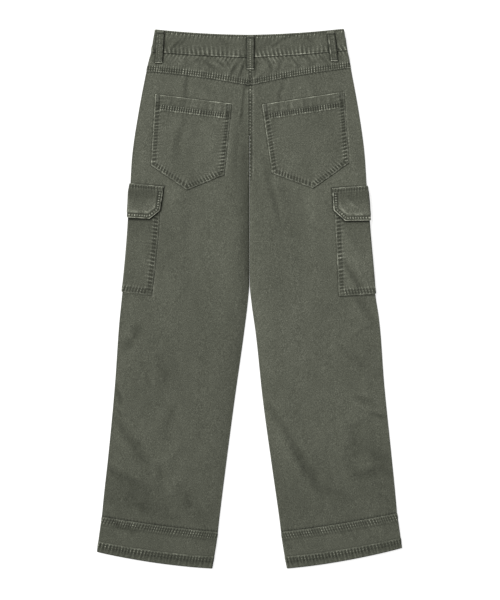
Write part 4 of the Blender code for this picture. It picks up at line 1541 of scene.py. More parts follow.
# ---------------------------------------------------------------- leg panels and bands
@dataclass
class LegPanels:
    """Back panel, yoke and front panel of one leg."""

    side: Side
    back_steps: Place = (1.75, 1.55)
    yoke_steps: Place = (1.0, 1.1)
    front_steps: Place = (5.0, 6.0)
    yoke_edge: SewnEdge = SewnEdge(
        rows=(1.1, 11.0), pitch=4.7, slant=0.1, pucker=0.3, edge_light=0.5, light=1.7, dark=0.5,
        inner_light=0.1, fade=4.0, seed=2.0,
    )

    def back_grid(self) -> tuple[Grid, Array]:
        """The back panel's grid and row positions, close together as far down as the pockets go.

        Returns:
            The grid and the row positions.
        """
        leg = LEGS[self.side]
        length, fine = (leg.span(ROW["yoke_seam"], ROW[last]) for last in ("band_seam", "thigh"))
        wide, close = self.back_steps
        positions = spaced(length, close, SEWN_EDGE)
        coarse = np.concatenate([np.arange(fine, length - 4, wide * 1.3), positions[-len(SEWN_EDGE) :]])
        s = leg.row_for(ROW["yoke_seam"], np.concatenate([positions[positions < fine - 1], coarse]))
        return Grid(leg.points(s[:, None], across_leg(leg, s, wide))), s

    def lapped(self, grid: Grid, pitches: Place, seeds: Place) -> tuple[Array, Array]:
        """Puckers, wear and painted shadow where other pieces lap over a panel's top and bottom.

        Args:
            grid: the panel.
            pitches: the length of a pucker at the top, and at the bottom.
            seeds: what tells the puckers of the two seams apart.

        Returns:
            Relief, and wear with the painted shadow.
        """
        relief, tone = 0.0, 0.0
        for distance, pitch, seed in zip((grid.top, grid.low), pitches, seeds):
            wave = ripple(grid.along, distance, pitch, 0.15, seed + self.side.value)
            relief = relief + 0.3 * wave * np.exp(-distance / 7.0)
            # a painted shadow right at the seam, under the lapping edge
            tone = tone - 0.6 * (1 - rise(distance, 0.6, 2.4)) + 0.3 * wave * np.exp(-distance / 3.5)
        return relief, tone

    def back(self) -> Cloth:
        """The back panel, from the yoke to the hem band.

        Returns:
            The piece.
        """
        grid, s = self.back_grid()
        relief, tone = CentreSeam.relief(grid.x, grid.down), CentreSeam.tone(grid.x, grid.down)
        more, darker = self.lapped(grid, (6.5, 6.0), (4.0, 6.0))
        tone = tone + darker + self.washing(grid, s) + sewn_on_shade(self.sewn_on(), grid.x, grid.down)
        return Cloth(
            f"back_{self.side.word}", grid.points, WALL, -WALL, grid.plan, relief + more, tone,
            centred=slice(0, int(np.argmax(s >= ROW["crotch"] - 0.25))),
            rests_on=(f"front_{self.side.word}",), rows=CentreSeam.rows(self.side, 112.0, 400.0),
        )

    def sewn_on(self) -> list[Outline]:
        """The outlines of what lies on the back panel.

        Returns:
            The seat pocket, the thigh pocket and the flap.
        """
        seat = next(pocket for pocket in SEAT_POCKETS if pocket.side is self.side)
        thigh = next(pocket for pocket in THIGH_POCKETS if pocket.side is self.side)
        return [Outline((*seat.corners, seat.corners[0]), seat.middle), *thigh.shades()]

    def washing(self, grid: Grid, s: Array) -> Array:
        """Uneven dye and painted shade: darker low down, beside the centre seam and at the left outer edge.

        Args:
            grid: the back panel.
            s: its row positions.

        Returns:
            The dye and painted shade.
        """
        leg, away, down = LEGS[self.side], np.abs(grid.x), grid.down
        inner, outer = away - leg.value("inner", s)[:, None], leg.value("outer", s)[:, None] - away
        seat = rise(down, 160, 260) * (1 - rise(down, 450, 520))
        tone = 0.03 * CLOUDS.at(grid.x / 90 + 7, down / 130) + creased_tone(grid.x, down)
        # painted shade on the left leg: its outer edge, beside the centre seam on the seat, and towards the
        # hem
        if self.side is Side.LEFT:
            tone = tone - 0.15 * hump(outer, 0.0, 2.2) - 0.15 * hump(inner, 6.0, 12.0) * seat
            return tone - 0.07 * rise(down, 350, 700) - 0.08 * rise(down, 750, 950)
        # painted shade on the right leg: beside the centre seam on the seat, and towards the hem
        tone = tone - 0.05 * hump(inner, 8.0, 24.0) * seat
        return tone - 0.03 * rise(down, 350, 700) - 0.10 * rise(down, 720, 950)

    def yoke(self) -> Cloth:
        """The yoke, felled over the back panel.

        Returns:
            The piece.
        """
        grid, _ = panel(LEGS[self.side], Layer.BACK, "waist_seam", "yoke_seam", self.yoke_steps)
        x, down, top, low, along = grid.x, grid.down, grid.top, grid.low, grid.along
        zigzag = ripple(along, top, 7.5, 0.4, 12.0 + self.side.value)
        fine = ripple(along, top, 3.4, 0.5, 13.0 + self.side.value)
        strong = np.exp(-top / 7.0) * (0.7 + 0.5 * CLOUDS.at(along / 21, 12.5))
        crumpled = CLOUDS.at((x + down) / 9, (x - down) / 16)
        crumpled = crumpled + CLOUDS.at((x - down) / 8 + 50, (x + down) / 17)
        relief = CentreSeam.relief(x, down) + self.yoke_edge.relief(low, along)
        relief = relief + 0.5 * zigzag * strong + 0.25 * crumpled
        tone = CentreSeam.tone(x, down) + self.yoke_edge.tone(low, along)
        # the last term is a painted shadow along the top, under the waistband's lower edge
        tone = tone + (0.6 * zigzag + 0.3 * fine) * strong - 0.75 * (1 - rise(top, 0.5, 2.2))
        tone = tone + loop_shade(x, down) + creased_tone(x, down) + 0.06 * crumpled + 0.02
        return Cloth(
            f"yoke_{self.side.word}", grid.points, WALL, YOKE_LIFT - WALL, grid.plan, relief, tone,
            border=low, centred=slice(None), rests_on=(f"front_{self.side.word}",),
            rows=grid.seam_rows(self.yoke_edge.rows, True) + CentreSeam.rows(self.side, 60.0, 106.0),
        )

    def front(self) -> Cloth:
        """The hidden front panel, which lies on the surface.

        Returns:
            The piece.
        """
        grid, s = panel(LEGS[self.side], Layer.FRONT, "waist_seam", "band_seam", self.front_steps)
        relief, tone = self.lapped(grid, (14.0, 14.0), (14.0, 16.0))
        return Cloth(
            f"front_{self.side.word}", grid.points, WALL, -WALL, grid.plan, relief,
            tone - 0.7 * hump(np.abs(grid.x), 0.0, 2.0),
            centred=slice(0, int(np.argmax(s >= ROW["crotch"] - 0.25))), faces_up=False,
        )


@dataclass
class HemBands:
    """The band round the end of one leg, in a back and a front piece, with its turned-up hem."""

    side: Side
    steps: Place = (1.2, 1.1)
    front_steps: Place = (1.7, 1.6)
    seam: SewnEdge = SewnEdge(
        rows=(1.8, 12.4), pitch=5.0, slant=0.3, pucker=0.22, edge_light=0.25, light=1.4, dark=0.4,
        inner_light=0.05, fade=4.0, seed=7.0,
    )
    hem: SewnEdge = SewnEdge(
        rows=(1.4, 11.0), pitch=6.3, slant=0.15, pucker=0.25, edge_light=0.34, light=1.1, dark=0.46,
        inner_light=0.0, fade=6.0, seed=8.0,
    )

    def decorate(self, grid: Grid, fold: Array) -> tuple[Array, Array]:
        """Puckers and wear of the band, with painted shade above the turned-up hem and along the bottom
        edge.

        Args:
            grid: its grid.
            fold: how far below the hem's row of stitches each point is.

        Returns:
            Relief, and wear with painted shade.
        """
        top, travel = grid.top, grid.along + 90.0 * self.side.value
        soft = ripple(grid.along, fold, 10.0, 0.15, 23.0 + self.side.value)
        near_edge = rise(fold, 8.0, 13.0)
        relief = self.seam.relief(top, travel) * rise(top, -1, 0) + self.hem.relief(fold, travel)
        tone = self.seam.tone(top, travel) + self.hem.tone(fold, travel)
        # the fold term is a painted shadow just above the turned-up hem's edge
        tone = tone - 0.18 * hump(top, 15.5, 2.4) - 0.22 * hump(fold, -1.6, 1.0)
        tone = tone - 0.18 * hump(fold, 12.0, 3.0)
        # darker along the bottom edge: painted shade where the cloth turns under
        tone = tone + (0.12 * soft - 0.06) * near_edge - 0.2 * (1 - rise(grid.low, 0.6, 2.4))
        return relief + 0.12 * soft * near_edge, tone - 0.12 + 0.02 * self.side.value

    def build(self, layer: Layer) -> Cloth:
        """One half of the band.

        Args:
            layer: its back or its front.

        Returns:
            The piece.
        """
        leg, behind = LEGS[self.side], layer is Layer.BACK
        steps = self.steps if behind else self.front_steps
        grid, s = panel(leg, layer, "band_seam", "hem", steps, FOLDED_EDGE)
        stretch = grid.top[-1] / leg.span(ROW["band_seam"], ROW["hem"])
        fold = (leg.value("middle_down", s) - leg.value("middle_down", ROW["hem_fold"]))[:, None] * stretch
        relief, tone = self.decorate(grid, fold)
        if behind:
            tone = tone + creased_tone(grid.x, grid.down)
        relief = relief + FOLD_LIFT * rise(fold, -0.4, 0.4)
        fold_at = leg.span(ROW["band_seam"], ROW["hem_fold"]) * float(stretch.mean())
        return Cloth(
            f"hem_band_{layer.name.lower()}_{self.side.word}", grid.points, BAND_WALL,
            BAND_LIFT - BAND_WALL, grid.plan, relief, tone,
            border=np.minimum(grid.top, grid.low), faces_up=behind,
            rests_on=(f"hem_band_front_{self.side.word}",) if behind else (),
            rows=grid.seam_rows((2.0, fold_at + 2.0), False) if behind else [],
        )


@dataclass
class Waistband:
    """The waistband: one piece behind, and two in front that meet at the button."""

    steps: Place = (1.2, 1.1)
    front_steps: Place = (1.8, 1.5)
    top_row: float = 3.3
    low_row: float = 2.2
    pucker_depth: float = 16.0
    pitch: float = 8.2

    def points(self, layer: Layer) -> Array:
        """The band's points from the left side seam to the right one.

        Args:
            layer: its back or its front.

        Returns:
            The points, in rows from the top down.
        """
        wide, close = self.steps if layer is Layer.BACK else self.front_steps
        length = LEGS[Side.LEFT].span(ROW["waist_top"], ROW["waist_seam"])
        s = LEGS[Side.LEFT].row_for(ROW["waist_top"], spaced(length, close, FOLDED_EDGE))
        columns = {leg: across_leg(leg, s, wide) * layer.value for leg in LEGS.values()}
        left, right = (leg.points(s[:, None], across) for leg, across in columns.items())
        return np.concatenate([left[:, :-1], right[:, ::-1][:, 1:]], axis=1)

    def stretch(self, node: str, grid: Grid, layer: Layer) -> Cloth:
        """A stretch of the band: drawn together along the lower seam, rubbed pale along the top.

        Args:
            node: its name.
            grid: its grid.
            layer: its layer of the garment.

        Returns:
            The cloth.
        """
        top, low, across = grid.top, grid.low, grid.x
        leaning = across + 2.5 * CLOUDS.at(across / 34, low / 14)
        wave = ripple(leaning, low, self.pitch, 0.1, 31.0)
        uneven = 0.95 + 0.28 * CLOUDS.at(across / 13, 31.7)
        reach = self.pucker_depth * (0.7 + 0.25 * CLOUDS.at(across / 10, 32.9))
        drawn = np.exp(-((np.maximum(low - 2.0, 0) / reach) ** 2)) * uneven * rise(low, 0.2, 1.6)
        ticks = ripple(across, top, 4.5, 0.2, 33.0)
        soft = np.exp(-np.maximum(top - 5, 0) / 5) * rise(top, 3.0, 5.0)
        soft = ripple(across, top, 7.4, 0.3, 35.0) * soft
        near_top = hump(top, 1.2, 1.0) + 0.8 * hump(top, 5.4, 1.3)
        broken = np.clip(0.6 + 0.9 * CLOUDS.at(across / 14, 37.3), 0.0, 1.3)
        crumpled = CLOUDS.at((across + 1.2 * top) / 14 + 70, top / 17)
        crumpled = crumpled + 0.4 * CLOUDS.at(across / 5 + 80, top / 4)
        relief = 0.6 * wave * drawn + 0.3 * ticks * near_top + 0.2 * soft + 0.4 * crumpled
        relief = relief - 0.22 * hump(low, self.low_row, 0.7) - 0.2 * hump(top, self.top_row, 0.7)
        tone = (0.62 * np.maximum(wave, 0) ** 1.4 - 0.32 * np.maximum(-wave, 0)) * drawn - 0.03
        tone = tone + (1.5 * np.maximum(ticks, 0) ** 1.5 - 0.25) * near_top + 0.36 * soft + 0.07 * crumpled
        tone = tone + (0.75 * broken + 0.15 * wave) * hump(low, 1.3, 1.0)
        tone = tone - 0.55 * hump(top, self.top_row, 0.9) - 0.3 * hump(low, self.low_row + 1.2, 0.8)
        if layer is Layer.BACK:
            tone = tone + loop_shade(across, grid.down) + creased_tone(across, grid.down)
        return Cloth(
            node, grid.points, WAISTBAND_WALL, WAISTBAND_LIFT - WAISTBAND_WALL, grid.plan, relief, tone,
            border=np.minimum(top, low), faces_up=layer is Layer.BACK,
        )

    def back(self) -> Cloth:
        """The piece across the back.

        Returns:
            The piece.
        """
        grid = Grid(self.points(Layer.BACK))
        cloth = self.stretch("waistband_back", grid, Layer.BACK)
        cloth.rests_on = ("waistband_front_left", "waistband_front_right")
        cloth.rows = grid.seam_rows((self.top_row,), False) + grid.seam_rows((self.low_row,), True)
        return cloth

    def front(self, side: Side) -> Cloth:
        """One of the two ends in front, which meet a little past the centre.

        Args:
            side: which end.

        Returns:
            The piece.
        """
        points, is_left = self.points(Layer.FRONT), side is Side.LEFT
        keep = int(np.argmax(points[0, :, 0] - WAISTBAND_END > 3.0 * side.value))
        points = points[:, :keep] if is_left else points[:, keep:]
        last = points[:, -1 if is_left else 0]
        x = np.full(len(last), WAISTBAND_END + side.value * CENTRE_GAP)
        end = surface(Layer.FRONT, x, LENGTH / 2 - last[:, 1])[:, None]
        points = np.concatenate([points, end] if is_left else [end, points], axis=1)
        return self.stretch(f"waistband_front_{side.word}", Grid(points), Layer.FRONT)


# ---------------------------------------------------------------- seat pockets
@dataclass(frozen=True)
class SeatPocket:
    """A five-sided patch pocket with a turned top, sewn down round its sides and point."""

    side: Side
    corners: tuple[Place, ...]  # top left, top right, low right, tip, low left
    step: float = 1.15
    edge: SewnEdge = SewnEdge(
        rows=(1.8, 9.6), pitch=6.4, slant=0.2, pucker=0.2, edge_light=0.45, light=1.05, dark=0.46,
        inner_light=0.1, fade=5.0, seed=40.0,
    )
    rope_pitch: float = 4.7
    hem_rows: Place = (19.0, 27.8)
    right_dark: float = 0.04  # how much painted shade darkens its right side

    def grid(self) -> Array:
        """Its points: across from left to right, and down from the hem to the point.

        Returns:
            The points, on the back layer.
        """
        top_left, top_right, low_right, tip, low_left = (np.array(c, float) for c in self.corners)
        wide = float(np.hypot(*(top_right - top_left)))
        deep = float(tip[1] - (top_left[1] + top_right[1]) / 2)
        u = spaced(wide, self.step, FOLDED_EDGE, 0.0) / wide
        v = spaced(deep, self.step, FOLDED_EDGE, 0.0) / deep
        u = np.unique(np.append(u, 0.5))[None, :, None]
        v = v[:, None, None]
        left, right = low_left + (tip - low_left) * 2 * u, tip + (low_right - tip) * (2 * u - 1)
        low = np.where(u < 0.5, left, right)
        top = top_left + (top_right - top_left) * u
        place = top + (low - top) * v
        return surface(Layer.BACK, place[..., 0], place[..., 1])

    @property
    def middle(self) -> Place:
        """The middle of its corners."""
        return tuple(np.mean(self.corners, axis=0))

    def build(self) -> Cloth:
        """The pocket.

        Returns:
            The piece.
        """
        points = self.grid()
        x, down = points[..., 0], LENGTH / 2 - points[..., 1]
        top_left, top_right, low_right, tip, low_left = self.corners
        sewn = Outline((top_left, low_left, tip, low_right, top_right), self.middle)
        turned = Outline((top_left, top_right), self.middle)
        edge, along = sewn.measure(x, down)
        top, top_along = turned.measure(x, down)
        seed = self.edge.seed + self.side.value
        first, last = self.hem_rows
        clear = rise(edge, self.edge.rows[-1] - 1.0, self.edge.rows[-1] + 1.5)
        bars = ripple(top_along, top, self.rope_pitch, 0.05, seed + 3.0)
        soft = ripple(top_along, top, 9.0, 0.1, seed + 6.0) + ripple(top_along, top, 17.0, -0.1, seed + 7.0)
        soft = soft * hump(top, first - 7, 8.0)
        under = ripple(top_along, top, 8.2, 0.2, seed + 3.0) * rise(top, last, last + 1)
        under = np.where(top > last, under * np.exp(-(top - last) / 6), 0.0)
        relief = 0.26 * bars * between(top, first, last) + 0.24 * soft + 0.2 * under
        relief = relief - 0.2 * (hump(top, first, 0.7) + hump(top, last, 0.7))
        relief = relief * clear + SEAT_HEM_LIFT * (1 - rise(top, SEAT_HEM - 0.6, SEAT_HEM + 0.6))
        tacked = between(edge, 1.8, 9.4) * between(top, 1.2, last)
        tone = self.edge.tone(edge, along) * (1 - 0.6 * tacked) - 0.4 * tacked * (1 + 0.5 * bars)
        # painted shade along the right-hand edges
        right = rise(x, self.middle[0] + 35, self.middle[0] + 45)
        tone = tone - self.right_dark * right * hump(edge, 2.5, 3.5)
        tone = tone + (0.55 + 0.3 * CLOUDS.at(top_along / 11, seed)) * (1 - rise(top, 0.6, 1.5))
        broken = np.clip(0.6 + 0.5 * CLOUDS.at(top_along / 4.5, seed + 9) + 0.4 * bars, 0.0, 1.3)
        lined = 0.8 * broken * hump(top, last + 0.8, 0.9) - 0.25 * hump(top, last + 2.6, 1.0)
        lined = lined + drawn_tone(bars, top, first, last, 1.9, 0.62) - 0.2 * hump(top, first - 1.4, 1.0)
        tone = tone + (lined + 0.07 * soft + 0.16 * under) * clear
        tone = tone + 0.05 * CLOUDS.at(x / 28 + 9, down / 36) + creased_tone(x, down)
        hem = Outline((top_left, top_right), tip)
        rows = [sewn.row(distance) for distance in self.edge.rows]
        rows += [hem.row(distance, 9.5) for distance in self.hem_rows]
        return Cloth(
            f"back_pocket_{self.side.word}", points, WALL, GAP, None,
            relief + self.edge.relief(edge, along), tone, border=np.minimum(edge, top),
            rests_on=(f"back_{self.side.word}",), rows=rows, bars=self.tacks(),
        )

    def tacks(self) -> list[Bar]:
        """A bar tack at each top corner.

        Returns:
            The left one and the right one.
        """
        top_left, top_right, low_right, _, low_left = (np.array(c, float) for c in self.corners)
        found = []
        for top, low, across in ((top_left, low_left, top_right), (top_right, low_right, top_left)):
            down = (low - top) / np.hypot(*(low - top))
            inward = (across - top) / np.hypot(*(across - top))
            start = top + inward * 4.8 + down * 1.5
            found.append((tuple(start), tuple(start + down * 13.0), 5.4))
        return found


SEAT_POCKETS = (
    SeatPocket(
        Side.LEFT, ((-181.1, 126.3), (-34.7, 144.6), (-48.5, 281.2), (-120.7, 310.3), (-189.6, 262.8)),
        right_dark=0.13,
    ),
    SeatPocket(Side.RIGHT, ((24.6, 146.1), (181.7, 121.7), (191.7, 258.1), (122.8, 307.2), (43.5, 278.2))),
)


# ---------------------------------------------------------------- thigh pockets and flaps
def crossing(a: tuple[Place, Place], b: tuple[Place, Place]) -> Place:
    """Where two lines cross.

    Args:
        a: two places on the first line.
        b: two places on the second.

    Returns:
        The place that is on both.
    """
    first, second = np.array(a, float), np.array(b, float)
    u, v = first[1] - first[0], second[1] - second[0]
    t = np.linalg.solve(np.stack([u, -v], axis=1), second[0] - first[0])[0]
    x, down = first[0] + u * t
    return float(x), float(down)


def turned_length(w: Array) -> Array:
    """The distance over the cloth from the side seam, for a distance seen from above.

    Args:
        w: the distances, positive on the back and negative on the front.

    Returns:
        The distances over the cloth, with the same signs.
    """
    away = np.abs(w)
    curved = ROLL * np.arccos(1 - np.clip(away / ROLL, 0, 1))
    return np.sign(w) * np.where(away > ROLL, away - ROLL + ROLL * math.pi / 2, curved)


def across_side(back: float, front: float, step: float) -> Array:
    """Columns that go round the side seam, as distances from it.

    Args:
        back: how far they reach on the back layer.
        front: how far they reach on the front layer.
        step: the spacing on the back; the front's is twice as wide.

    Returns:
        The distances, positive on the back, from the back's end to the front's.
    """
    edge = np.array(FOLDED_EDGE)
    count = max(int(round((back - ROLL - edge[-1]) / step)), 3)
    behind = np.concatenate([back - edge, np.linspace(back - edge[-1], ROLL, count + 1)[1:-1]])
    turn = ROLL * (1 - np.cos(np.linspace(math.pi / 2, 0, 8)))
    count = max(int(round((front - ROLL - edge[-1]) / (2 * step))), 3)
    ahead = np.concatenate([np.linspace(ROLL, front - edge[-1], count + 1)[1:-1], front - edge[::-1]])
    return np.concatenate([behind, turn, -turn[-2::-1], -ahead])


@dataclass(frozen=True)
class ThighPocket:
    """A patch pocket that is wrapped round the side seam, with its flap.

    Lines and corners are (x, down) places on the back, or as seen through it on the front.
    """

    side: Side
    pocket_back: tuple[Place, Place]
    pocket_front: tuple[Place, Place]
    mouth: tuple[Place, Place]
    bottom: tuple[Place, Place]
    flap_back: tuple[Place, ...]
    flap_front: tuple[Place, ...]
    flap_top: tuple[Place, Place]
    step: float = 1.15
    pocket_edge: SewnEdge = SewnEdge(
        rows=(2.0, 10.2), pitch=7.2, slant=0.2, pucker=0.2, edge_light=0.38, light=1.1, dark=0.48,
        inner_light=0.12, fade=5.0, seed=50.0,
    )
    bottom_edge: SewnEdge = SewnEdge(
        rows=(1.6, 12.0), pitch=5.8, slant=0.1, pucker=0.3, edge_light=0.35, light=1.2, dark=0.42,
        inner_light=0.2, fade=6.0, seed=52.0,
    )
    flap_edge: SewnEdge = SewnEdge(
        rows=(5.0,), pitch=4.9, pucker=0.15, edge_light=0.95, light=2.3, dark=0.42,
        inner_light=0.0, fade=3.0, seed=54.0,
    )
    flap_seam: SewnEdge = SewnEdge(
        rows=(2.0, 8.6), pitch=5.2, slant=0.2, pucker=0.3, edge_light=0.6, light=1.1, dark=0.5,
        inner_light=0.0, fade=5.0, seed=56.0,
    )

    @property
    def leg(self) -> Leg:
        """The leg that the pocket is on."""
        return LEGS[self.side]

    def from_side(self, place: Place) -> Place:
        """A place as its distance from the side seam, and down.

        Args:
            place: the (x, down) place.

        Returns:
            The distance from the seam, and down.
        """
        x, down = np.array([place[0]]), np.array([place[1]])
        s = self.leg.row_at_x(x, down)
        return float(self.leg.value("outer", s)[0] - abs(place[0])), place[1]

    def at_side(self, line: tuple[Place, Place]) -> Place:
        """Where a line meets the side seam, in the same terms.

        Args:
            line: two (x, down) places on the line.

        Returns:
            A distance of 0, and down.
        """
        down = line[0][1]
        for _ in range(8):
            s = self.leg.row_at_x(np.array([1e3 * self.side.value]), np.array([down]))
            outer = float(self.leg.value("outer", s)[0]) * self.side.value
            t = (outer - line[0][0]) / (line[1][0] - line[0][0])
            down = line[0][1] + (line[1][1] - line[0][1]) * t
        return 0.0, down

    def grid(self, top: list[Place], low: list[Place]) -> tuple[Array, Array, Array]:
        """A grid between two chains of places, which go from the back's end round to the front's.

        Args:
            top: the upper chain, as signed distances from the side seam, and down.
            low: the lower chain.

        Returns:
            The points, their places on the flat cloth, and their row positions.
        """
        w = across_side(top[0][0], -top[-1][0], self.step)
        order = np.argsort([p[0] for p in top])
        upper = np.interp(w, np.array(top)[order, 0], np.array(top)[order, 1])
        lowest = np.array(low)[np.argsort([p[0] for p in low])]
        w_low = np.where(w > 0, w * lowest[-1, 0] / w[0], w * lowest[0, 0] / w[-1])
        w_low = np.where(np.abs(w) <= ROLL, w, w_low)
        lower = np.interp(w_low, lowest[:, 0], lowest[:, 1])
        deep = float(np.median(lower - upper))
        v = (spaced(deep, self.step, FOLDED_EDGE, 0.0) / deep)[:, None]
        across, down = w + (w_low - w) * v, upper + (lower - upper) * v
        s = self.leg.row_at_turn(across, down)
        points = self.leg.points(s, np.where(np.abs(across) < 1e-9, 1e-9, across))
        return points, np.stack([turned_length(across), down], axis=-1), s

    def chain(self, places: Sequence[Place]) -> tuple[Place, ...]:
        """Signed places from the side seam as places on the flat cloth."""
        return tuple((float(turned_length(np.array(w))), down) for w, down in places)

    def wrapped(self, line: tuple[Place, Place]) -> list[Place]:
        """A line's places, from the pocket's back edge round the side seam to its front edge.

        Args:
            line: two (x, down) places on the line.

        Returns:
            The three places, as signed distances from the side seam, and down.
        """
        back = self.from_side(crossing(self.pocket_back, line))
        front = self.from_side(crossing(self.pocket_front, line))
        return [back, self.at_side(line), (-front[0], front[1])]

    def measured(
        self, plan: Array, middle: Place, back: Sequence[Place], front: Sequence[Place]
    ) -> tuple[Array, Array]:
        """Distances from a chain of edges that goes round the side seam, and along it.

        Args:
            plan: places on the flat cloth.
            middle: a place inside the piece.
            back: the chain's signed places on the back.
            front: those on the front.

        Returns:
            The distance in from the nearest edge, and the distance along the chain.
        """
        p, q = plan[..., 0], plan[..., 1]
        behind, ahead = (Outline(self.chain(places), middle).measure(p, q) for places in (back, front))
        return np.where(p > 0, behind[0], ahead[0]), np.where(p > 0, behind[1], ahead[1])

    def pocket(self) -> Cloth:
        """The pocket.

        Returns:
            The piece.
        """
        top, low = self.wrapped(self.mouth), self.wrapped(self.bottom)
        points, plan, _ = self.grid(top, low)
        x, down = points[..., 0], LENGTH / 2 - points[..., 1]
        p, q = plan[..., 0], plan[..., 1]
        middle, seed = (float(p.mean()), float(q.mean())), self.side.value
        back_edge, back_along = Outline(self.chain([top[0], low[0]]), middle).measure(p, q)
        front_edge, front_along = Outline(self.chain([top[2], low[2]]), middle).measure(p, q)
        low_edge, low_along = self.measured(plan, middle, low[:2], low[1:])
        back_along, low_along = back_along + 9 * seed, low_along + 5 * seed
        nearest = np.minimum(back_edge, front_edge)
        clear_side, clear_low = rise(nearest, 8.5, 11.5), rise(low_edge, 8.0, 11.0)
        side, bottom = self.pocket_edge, self.bottom_edge
        soft = ripple(p, q, 11.0, 0.1, 58.0 + seed) * np.exp(-low_edge / 14) * rise(low_edge, 9, 12)
        relief = (side.relief(back_edge, back_along) + side.relief(front_edge, front_along)) * clear_low
        relief = relief + bottom.relief(low_edge, low_along) * clear_side
        relief = relief + 0.25 * soft + 0.5 * self.sag(p, q)
        tone = side.tone(back_edge, back_along) * (0.3 + 0.7 * clear_low)
        tone = tone + side.tone(front_edge, front_along)
        tone = tone + bottom.tone(low_edge, low_along) * (0.3 + 0.7 * clear_side)
        # painted shadow of the flap on the pocket, just below and beside its loose edge
        off, _ = self.shades()[1].measure(x, down)
        flap_shadow = 1.1 * hump(off, -0.8, 2.2) + 0.22 * np.exp(off / 9.0)
        tone = tone - np.where((off < 1.0) & (p > 0), flap_shadow, 0.0) + 0.12 * soft
        tone = tone + 0.06 * CLOUDS.at(p / 22 + 3 * seed, q / 30)
        tone = tone + creased_tone(x, down) * (p > 0) + 0.05 * seed
        rows = [self.sewn([top[0], low[0]], middle, distance, (3.0, distance)) for distance in side.rows]
        rows += [self.sewn(low[:2], middle, distance, (distance, ROLL + 1)) for distance in bottom.rows]
        return Cloth(
            f"cargo_pocket_{self.side.word}", points, WALL, GAP, plan, relief, tone,
            border=np.minimum(np.minimum(nearest, low_edge), q - q[0]),
            rests_on=(f"back_{self.side.word}", f"front_{self.side.word}"), rows=rows,
        )

    def shades(self) -> list[Outline]:
        """The outlines of the pocket and the flap on the back, with painted shade beside them.

        Returns:
            The two outlines.
        """
        beyond, side = self.side.value * 320.0, self.side.value
        top, low = crossing(self.pocket_back, self.mouth), crossing(self.pocket_back, self.bottom)
        slope = (self.mouth[1][1] - self.mouth[0][1]) / (self.mouth[1][0] - self.mouth[0][0])
        high_side = (beyond, top[1] + slope * (beyond - top[0]))
        chain = (high_side, top, low, (beyond, self.bottom[0][1]))
        # painted shade outside the pocket's edges, heavier on the right leg, and painted shadow outside the
        # flap's loose edge
        pocket = Outline(chain, (side * 215.0, 430.0), 0.38 + 0.22 * side)
        flap_high = (beyond, self.flap_top[0][1] - (self.flap_top[1][1] - self.flap_top[0][1]) * 0.9)
        chain = (flap_high, *self.flap_back[:3], (beyond, self.flap_back[3][1]))
        return [pocket, Outline(chain, (side * 215.0, 335.0), 0.85, 1.5, 0.0)]

    def sag(self, p: Array, q: Array) -> Array:
        """The pocket's empty bag, which bulges a little between its sewn edges."""
        inside = hump(np.abs(p), 36.0, 16.0)
        return inside * (0.6 * hump(q, 470.0, 34.0) + 0.3 * CLOUDS.at(p / 15, q / 22))

    def sewn(self, places: Sequence[Place], middle: Place, distance: float, ends: Place) -> Array:
        """A row of stitches along an edge, as (x, down) places.

        Args:
            places: the edge's two ends, as distances from the side seam, and down.
            middle: a place inside the piece.
            distance: how far in from the edge the row lies.
            ends: how far short of the edge's two ends it stops.

        Returns:
            The row.
        """
        start, end = (np.array(place) for place in self.chain(places))
        along = (end - start) / np.hypot(*(end - start))
        inward = np.array([-along[1], along[0]])
        inward *= np.sign(inward @ (np.array(middle) - start))
        first = start + along * ends[0] + inward * distance
        last = end - along * ends[1] + inward * distance
        return self.on_back(first + (last - first) * np.linspace(0, 1, 24)[:, None])

    def on_back(self, flat: Array) -> Array:
        """Places on the back half's flat cloth as (x, down) places.

        Args:
            flat: the places, in rows.

        Returns:
            The (x, down) places, in rows.
        """
        w = np.maximum(flat[:, 0] - ROLL * (math.pi / 2 - 1), 0.3)
        s = self.leg.row_at_turn(w, flat[:, 1])
        return np.stack([self.side.value * (self.leg.value("outer", s) - w), flat[:, 1]], axis=-1)

    def flap(self) -> Cloth:
        """The flap, sewn down along its top and loose below, with a corner cut off.

        Returns:
            The piece.
        """
        back = [self.from_side(corner) for corner in self.flap_back[:3]]
        front = [(-w, down) for w, down in (self.from_side(corner) for corner in self.flap_front[:3])]
        side = self.at_side((self.flap_back[2], self.flap_back[3]))
        top = [back[0], self.at_side(self.flap_top), front[0]]
        points, plan, s = self.grid(top, [back[1], back[2], side, front[2], front[1]])
        p, q = plan[..., 0], plan[..., 1]
        middle, seed = (float(p.mean()), float(q.mean())), self.side.value
        edge, along = self.measured(plan, middle, [*back, side], [*front, side])
        top_edge, top_along = self.measured(plan, middle, top[:2], top[1:])
        along, top_along = along + 7 * seed, top_along + 3 * seed
        clear = rise(top_edge, 7.0, 11.0)
        inside = edge - self.flap_edge.rows[0] - 2.0
        puffed = 0.9 * rise(inside, -1.0, 6.0) * np.exp(-np.maximum(inside - 6, 0) / 18)
        relief = (self.flap_edge.relief(edge, along) + puffed) * clear
        relief = relief + self.flap_seam.relief(top_edge, top_along)
        relief = relief + 0.25 * CLOUDS.at(p / 13 + seed, q / 16)
        patchy = 0.65 + 0.6 * CLOUDS.at((along - 7 * seed) / 11, 57.0 + seed)
        # a painted highlight on the puffed ridge inside the loose edge, fading towards the top
        lined = 0.24 * patchy * hump(inside, 4.6, 3.0) + 0.12 * np.exp(-np.maximum(inside - 5, 0) / 10)
        lined = lined * (0.45 + 0.55 * rise(top_edge, 20.0, 46.0))
        lined = lined - 0.75 * hump(edge, 2.7, 1.0) - 0.55 * hump(inside, 1.0, 1.6)
        tone = self.flap_edge.tone(edge, along) * (0.25 + 0.75 * clear)
        tone = tone + self.flap_seam.tone(top_edge, top_along)
